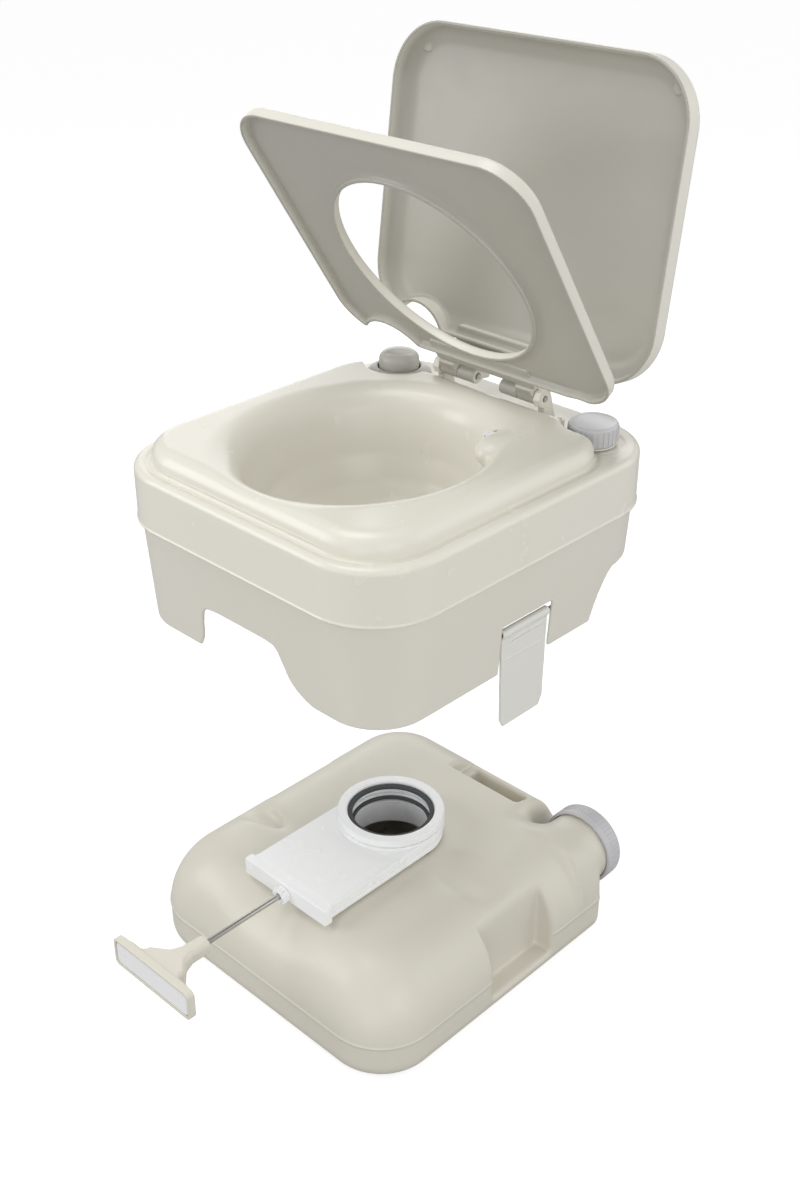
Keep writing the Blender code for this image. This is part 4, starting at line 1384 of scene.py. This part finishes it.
@dataclass
class HingedPanels:
    """The seat ring and the lid, each drawn closed about the hinge axis and then raised.

    Attributes:
        hinge: Y and Z of the axis.
        seat_angle: How far the seat is raised, in degrees.
        lid_angle: How far the lid is raised.
        seat_half: Half width and half depth of the seat.
        seat_y: Where the seat's middle lies from the axis.
        seat_z: Rim and top of the seat.
        hole: Radius of the seat's opening.
        lid_half: Half width and half depth of the lid.
        lid_rim: Height of the lid's rim.
    """

    hinge: Pair = (0.145, 0.608)
    seat_angle: float = 57.0
    lid_angle: float = 97.5
    seat_half: Pair = (0.174, 0.147)
    seat_y: float = -0.175
    seat_z: Pair = (-0.0067, 0.0065)
    hole: float = 0.111
    hole_y: float = -0.157
    lid_half: Pair = (0.178, 0.149)
    lid_y: float = -0.177
    lid_rim: float = 0.0075
    lid_top: float = 0.0318
    wall: float = 0.0030

    SCOOPS = (((-0.118, -0.010), 0.0410), ((0.128, 0.003), 0.0330))

    def _scooped(self, f: Array, x: Array, y: Array) -> Array:
        """Takes the clearances for the pump and the filler cap out of a panel's rear corners.

        Args:
            f: Distance to the shape so far.
            x: First coordinate.
            y: Second coordinate.

        Returns:
            Signed distance, negative inside.
        """
        for (sx, sy), radius in self.SCOOPS:
            f = carve(f, np.hypot(x - sx, y - sy) - radius, 0.0030)
        return f

    def _knuckles(self, f: Array, x: Array, y: Array, z: Array, reach: Pair,
                  web: tuple[float, float, float, float]) -> Array:
        """Adds the two barrels of a panel on the hinge axis, each with its web.

        Args:
            f: Distance to the panel.
            x: First coordinate.
            y: Second coordinate, from the axis.
            z: Third coordinate, from the axis.
            reach: Where a barrel starts and ends on X.
            web: Low and high ends of the web on Z, then on Y.

        Returns:
            Distance to the panel with its barrels.
        """
        for sx in (-1, 1):
            barrel = thick(np.hypot(y, z) - 0.0080, sx * x, reach[0], reach[1], 0.0005)
            arm = block(sx * x, y, z, (reach[0] + 0.0004, web[2], web[0]),
                        (reach[1] - 0.0004, web[3], web[1]), 0.0008)
            f = blend_in(f, blend_in(barrel, arm, 0.0015), 0.0006)
            f = carve(f, thick(np.hypot(y, z) - 0.0031, sx * x, 0.010, 0.080, 0.0004), 0.0006)
        return f

    def seat_shape(self, x: Array, y: Array, z: Array) -> Array:
        """Distance to the seat, drawn closed.

        Args:
            x: First coordinate.
            y: Second coordinate.
            z: Third coordinate.

        Returns:
            Signed distance, negative inside.
        """
        edge = plan(x, y - self.seat_y, self.seat_half, 0.045)
        solid = thick(edge, z, -0.4, self.seat_z[1], 0.0045)
        opening = np.hypot(x, y - self.hole_y) - self.hole
        solid = carve(solid, opening, 0.0070)
        solid = self._scooped(solid, x, y)
        under = overlap(solid + self.wall, z - (self.seat_z[1] - self.wall), 0.0110)
        f = carve(solid, under, 0.0012)
        rim = np.where(opening < 0.012, self.seat_z[0] + 0.0015, self.seat_z[0])
        f = overlap(f, rim - z, 0.0012)
        tongue = block(x, y, z, (-0.0640, -0.0400, -0.0020),
                       (0.0640, -0.0137, self.seat_z[1] - 0.0004), 0.0012)
        f = blend_in(f, tongue, 0.0020)
        return self._knuckles(f, x, y, z, (0.0400, 0.0615), (-0.0060, 0.0058, -0.0141, 0.0))

    def lid_shape(self, x: Array, y: Array, z: Array) -> Array:
        """Distance to the lid, drawn closed.

        Args:
            x: First coordinate.
            y: Second coordinate.
            z: Third coordinate.

        Returns:
            Signed distance, negative inside.
        """
        edge = plan(x, y - self.lid_y, self.lid_half, 0.060, soft=0.05)
        crown = self.lid_top - 0.0046 * np.exp(np.minimum(edge, 0.0) / 0.028)
        solid = thick(edge, z - crown, -0.4, 0.0, 0.0055)
        solid = self._scooped(solid, x, y)
        under = overlap(edge + self.wall, z - crown + self.wall, 0.0200)
        under = overlap(under, self._scooped(edge * 0.0 - 1.0, x, y) + self.wall, 0.004)
        f = carve(solid, under, 0.0012)
        f = overlap(f, self.lid_rim - z, 0.0014)
        for sx in (-1, 1):
            boss = thick(np.hypot(sx * x - 0.150, y + 0.300) - 0.0060, z, 0.0238, 0.0285, 0.0006)
            f = blend_in(f, boss, 0.0010)
        tongue = block(x, y, z, (-0.0640, -0.0400, 0.0145), (0.0640, -0.0117, 0.0270), 0.0012)
        f = blend_in(f, tongue, 0.0020)
        return self._knuckles(f, x, y, z, (0.0170, 0.0390), (0.0, 0.0200, -0.0127, 0.0040))

    def raised(self, angle: float) -> Matrix:
        """The matrix that raises a panel about the hinge."""
        axis = Matrix.Translation((0.0, self.hinge[0], self.hinge[1]))
        return axis @ Matrix.Rotation(math.radians(-angle), 4, "X")

    def build(self) -> None:
        """Builds the seat and the lid."""
        seat = Moulding("seat_ring", self.seat_shape, (-0.178, -0.326, -0.011), (0.178, 0.012, 0.012),
                        0.0016, 0.45, self.raised(self.seat_angle))
        settle_piece(seat.build(SEAT), Body.SEAT, "deck", "seat")
        lid = Moulding("lid_panel", self.lid_shape, (-0.182, -0.330, -0.011), (0.182, 0.012, 0.036),
                       0.0016, 0.38, self.raised(self.lid_angle))
        settle_piece(lid.build(SEAT), Body.LID, "deck", "lid")


# ---- hinge brackets, latches, pump --------------------------------------------------------------------


@dataclass
class HingeBrackets:
    """The two brackets behind the pad, with the heads of their screws."""

    ear: Pair = (0.0625, 0.0705)
    foot_end: float = 0.0808
    axis: Pair = (0.145, 0.608)

    EAR = ((-0.0012, -0.0270), (-0.0012, -0.0100), (-0.0075, -0.0065), (-0.0100, 0.0), (-0.0070, 0.0072),
           (0.0, 0.0100), (0.0070, 0.0072), (0.0100, 0.0), (0.0130, -0.0120), (0.0185, -0.0270))

    def shape(self, sign: int) -> Shape:
        """Distance to one bracket, drawn about the hinge axis.

        Args:
            sign: 1 for the right one, -1 for the left.

        Returns:
            The shape.
        """
        def bracket(x: Array, y: Array, z: Array) -> Array:
            """One bracket.

            Args:
                x: First coordinate.
                y: Second coordinate.
                z: Third coordinate.

            Returns:
                Signed distance, negative inside.
            """
            u = sign * x
            foot = block(u, y, z, (self.ear[0], -0.0012, -0.0277), (self.foot_end, 0.0200, -0.0242), 0.0006)
            ear = thick(outline_area(y, z, self.EAR), u, self.ear[0], self.ear[1], 0.0006)
            f = blend_in(foot, ear, 0.0020)
            f = carve(f, thick(np.hypot(y, z) - 0.0031, u, 0.05, 0.09, 0.0004), 0.0006)
            for row in (0.0040, 0.0155):
                f = carve(f, np.hypot(u - 0.0757, y - row) - 0.0019, 0.0004)
            return f
        return bracket

    def build(self) -> None:
        """Builds both brackets and dresses the screws."""
        place = Matrix.Translation((0.0, self.axis[0], self.axis[1]))
        for side in Side:
            x = sorted((side.value * (self.ear[0] - 0.004), side.value * (self.foot_end + 0.004)))
            piece = Moulding(f"{side.word}_bracket", self.shape(side.value), (x[0], -0.014, -0.031),
                             (x[1], 0.024, 0.014), 0.0008, 0.5, place)
            settle_piece(piece.build(SKIRT), Body.TOP, "skirt", f"{side.word}_hinge_bracket")
            for row in ("front", "rear"):
                node = f"{side.word}_{row}_hinge_screw"
                low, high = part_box(node)
                mid = middle(node)
                head = high.z - 0.0018
                tip = low.z - head
                profile = [(0.0, 0.0009), (0.0009, 0.0009), (0.0012, 0.0017), (0.0022, 0.0015),
                           (0.0034, 0.0005), (0.0034, 0.0), (0.0015, 0.0), (0.0015, tip + 0.0012), (0.0, tip)]
                screw = Turning(f"{side.word}_{row}_screw", profile, (mid.x, mid.y, head),
                                round_off=0.0002, steps=32)
                settle_piece(screw.build(STEEL), Body.TOP, "steel", node)


@dataclass
class Latches:
    """The two side flaps that hold the top section on its tank."""

    axis: Pair = (0.1690, 0.456)
    y: Pair = (-0.028, 0.038)

    def shape(self, sign: int) -> Shape:
        """Distance to one flap, drawn about its pin.

        Args:
            sign: 1 for the right one, -1 for the left.

        Returns:
            The shape.
        """
        low, high = self.y
        outline = ((low, 0.0), (low + 0.003, -0.096), (low + 0.007, -0.1035), (high - 0.007, -0.1035),
                   (high - 0.002, -0.094), (high, 0.0))

        def flap(x: Array, y: Array, z: Array) -> Array:
            """One flap.

            Args:
                x: First coordinate.
                y: Second coordinate.
                z: Third coordinate.

            Returns:
                Signed distance, negative inside.
            """
            u = sign * x
            f = thick(outline_area(y, z, outline), u, -0.0014, 0.0012, 0.0004)
            f = blend_in(f, drum(u, z, y, 0.0045, low + 0.0002, high - 0.0002, 0.0004), 0.0030)
            hook = block(u, y, z, (-0.0065, low + 0.012, -0.1000), (0.0002, high - 0.012, -0.0960), 0.0005)
            rib = block(u, y, z, (0.0002, low + 0.014, -0.0125), (0.0032, high - 0.010, -0.0105), 0.0004)
            rim = block(u, y, z, (-0.0014, low + 0.006, -0.0300), (0.0018, high - 0.006, -0.0286), 0.0003)
            f = blend_in(blend_in(f, hook, 0.0008), np.minimum(rib, rim), 0.0008)
            return carve(f, np.hypot(u, z) - 0.0024, 0.0003)
        return flap

    def build(self) -> None:
        """Builds both flaps."""
        for side in Side:
            place = Matrix.Translation((side.value * self.axis[0], 0.0, self.axis[1]))
            piece = Moulding(f"{side.word}_flap", self.shape(side.value), (-0.010, -0.032, -0.107),
                             (0.010, 0.042, 0.008), 0.0009, 0.5, place)
            body = Body.LEFT_LATCH if side is Side.LEFT else Body.RIGHT_LATCH
            settle_piece(piece.build(LATCH), body, "cap_grey", f"{side.word}_latch")


@dataclass
class FlushPump:
    """The bellows pump: collar, knob and bellows."""

    at: Point = (-0.118, 0.135, 0.580)
    travel: float = 0.008

    THUMB_GROOVE = Egg((0.0, -0.006, 0.0345), (0.016, 0.006, 0.0050), 0.005, 0.003)

    def knob_shape(self, x: Array, y: Array, z: Array) -> Array:
        """Distance to the knob with its thumb groove.

        Args:
            x: First coordinate.
            y: Second coordinate.
            z: Third coordinate.

        Returns:
            Signed distance, negative inside.
        """
        r = np.hypot(x, y)
        dome = 0.0335 - 0.0042 * (r / 0.0205) ** 2
        f = overlap(r - 0.0210, z - dome, 0.0060)
        f = overlap(f, 0.0092 - z, 0.0010)
        f = carve(f, thick(r - 0.0188, z, -0.05, 0.0178, 0.001), 0.0008)
        u, v = 0.719 * x + 0.695 * y, -0.695 * x + 0.719 * y
        return self.THUMB_GROOVE.cut(f, u, v, z)

    def collar_shape(self, x: Array, y: Array, z: Array) -> Array:
        """Distance to the collar round the knob.

        Args:
            x: First coordinate.
            y: Second coordinate.
            z: Third coordinate.

        Returns:
            Signed distance, negative inside.
        """
        r = np.hypot(x, y)
        top = 0.0160 - 0.0060 * np.clip((r - 0.0240) / 0.0100, 0.0, 1.0) ** 1.5
        f = overlap(r - 0.0340, np.maximum(z - top, 0.0003 - z), 0.0016)
        tube = thick(r - 0.0200, z, -0.0200, 0.0000, 0.0005)
        f = blend_in(f, tube, 0.0010)
        well = 0.0180 + 0.0046 * np.clip((z + 0.0004) / 0.0012, 0.0, 1.0)
        return carve(f, r - well, 0.0012)

    def build(self) -> None:
        """Builds the pump's visible pieces."""
        place = Matrix.Translation(self.at)
        knob = Moulding("pump_button", self.knob_shape, (-0.025, -0.025, 0.006), (0.025, 0.025, 0.037),
                        0.0008, 0.5, place)
        settle_piece(knob.build(KNOB), Body.KNOB, "deck", "pump_knob")
        collar = Moulding("pump_flange", self.collar_shape, (-0.038, -0.038, -0.024), (0.038, 0.038, 0.020),
                          0.0010, 0.5, place)
        settle_piece(collar.build(KNOB), Body.TOP, "cap_grey", "pump_collar")
        profile = [(0.0, 0.0172)]
        for fold in range(3):
            z = 0.0172 - fold * 0.0045
            profile += [(0.0150, z - 0.0002), (0.0178, z - 0.0022)]
        profile += [(0.0150, 0.0037), (0.0150, 0.0020), (0.0, 0.0020)]
        bellows = Turning("pump_folds", profile, self.at, round_off=0.0009, steps=64)
        folds = settle_piece(bellows.build(KNOB), Body.TOP, "black_rubber", "pump_bellows")
        self.at[2] + 0.0020
        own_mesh(folds)


# ---- CAD nodes that stay, studio, main ----------------------------------------------------------------


KEPT_NODES: dict[str, tuple[str, ...]] = {
    "black_rubber": ("valve_gasket", "spout_cap_gasket", "filler_cap_gasket", "outlet_seal", "flush_hose"),
    "white_valve_plastic": ("valve_lock_ring", "valve_blade", "flush_nozzle", "pump_cylinder", "pickup_tube"),
    "cream_gloss_plastic": ("filler_neck",),
    "drawn_steel": ("left_hinge_pin", "right_hinge_pin", "left_latch_pin", "right_latch_pin"),
}


def dress_kept_nodes() -> None:
    """Gives the CAD nodes that stay in view their finishes."""
    for name, nodes in KEPT_NODES.items():
        for node in nodes:
            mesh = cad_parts[node].data
            mesh.materials.clear()
            mesh.materials.append(bpy.data.materials[name])
            LOG.info("%s keeps its CAD shape", node)


@dataclass
class Studio:
    """Floor, lights and camera."""

    target: Point = (0.0, 0.0143, 0.4084)
    azimuth: float = 44.06
    elevation: float = 29.9
    distance: float = 1.5235
    lens: float = 45.08
    sky: float = 0.49

    def build(self) -> None:
        """Sets the studio up."""
        self._floor()
        self._sky()
        for name, at, size, power in (("overhead", (-0.30, -0.40, 2.60), 1.2, 15.0),
                                      ("front_left", (-1.30, -1.50, 1.20), 1.2, 13.0),
                                      ("right", (1.70, -0.60, 0.90), 1.2, 7.0),
                                      ("low_front", (0.90, -1.60, 0.40), 1.0, 4.5),
                                      ("rear_left", (-1.50, 1.40, 1.00), 1.6, 9.0),
                                      ("rear_right", (1.30, 1.50, 0.95), 1.6, 9.0)):
            self._light(name, at, size, power)
        self._camera()

    def _floor(self) -> None:
        """A plain pale floor."""
        bm = bmesh.new()
        bmesh.ops.create_grid(bm, x_segments=2, y_segments=2, size=30.0)
        floor_look = bpy.data.materials.new("studio_floor")
        floor_look.use_nodes = True
        shader = floor_look.node_tree.nodes["Principled BSDF"]
        shader.inputs["Base Color"].default_value = (0.46, 0.46, 0.46, 1.0)
        shader.inputs["Roughness"].default_value = 0.9
        shader.inputs["Emission Strength"].default_value = 0.74
        seen = add_node(floor_look.node_tree, "ShaderNodeLightPath", {}, {}, out="Is Camera Ray")
        glow = mix_colour(floor_look.node_tree, seen, (0.0, 0.0, 0.0), (1.0, 1.0, 1.0))
        floor_look.node_tree.links.new(glow.socket, shader.inputs["Emission Color"])
        mesh = bpy.data.meshes.new("floor")
        bm.to_mesh(mesh)
        bm.free()
        mesh.materials.append(floor_look)
        floor = bpy.data.objects.new("floor", mesh)
        floor.location.z = -0.0008
        bpy.context.scene.collection.objects.link(floor)

    def _sky(self) -> None:
        """Even white surroundings, seen brighter than they shine."""
        world = bpy.data.worlds.new("studio")
        world.use_nodes = True
        bpy.context.scene.world = world
        tree = world.node_tree
        background = tree.nodes["Background"]
        seen = add_node(tree, "ShaderNodeLightPath", {}, {}, out="Is Camera Ray")
        glow = mix_colour(tree, seen, (self.sky,) * 3, (1.0, 1.0, 1.0))
        tree.links.new(glow.socket, background.inputs["Color"])

    def _light(self, name: str, at: Point, size: float, power: float) -> None:
        """One soft square light that faces the toilet.

        Args:
            name: Its name.
            at: Where it stands.
            size: Length of its sides.
            power: Its strength in watts.
        """
        data = bpy.data.lights.new(name, "AREA")
        data.size = size
        data.energy = power
        lamp = bpy.data.objects.new(name, data)
        lamp.location = at
        lamp.rotation_euler = (Vector((0.0, 0.0, 0.45)) - Vector(at)).to_track_quat("-Z", "Y").to_euler()
        bpy.context.scene.collection.objects.link(lamp)

    def _camera(self) -> None:
        """The camera, at the usual three-quarter view."""
        data = bpy.data.cameras.new("view")
        data.lens = self.lens
        a, e = math.radians(self.azimuth), math.radians(self.elevation)
        back = Vector((math.sin(a) * math.cos(e), -math.cos(a) * math.cos(e), math.sin(e)))
        camera = bpy.data.objects.new("view", data)
        camera.location = Vector(self.target) + back * self.distance
        camera.rotation_euler = (-back).to_track_quat("-Z", "Y").to_euler()
        bpy.context.scene.collection.objects.link(camera)
        bpy.context.scene.camera = camera
        bpy.context.scene.view_settings.view_transform = "Standard"


def main() -> None:
    """Builds every sub-assembly in order."""
    logging.basicConfig(level=logging.INFO, format="%(name)s: %(message)s")
    for part in (WasteTank(), GateValve(), ScrewCaps(), TopSection(), HingedPanels(), HingeBrackets(),
                 Latches(), FlushPump()):
        LOG.info("building %s", type(part).__name__)
        part.build()
    dress_kept_nodes()
    Studio().build()


if __name__ == "__main__":
    main()
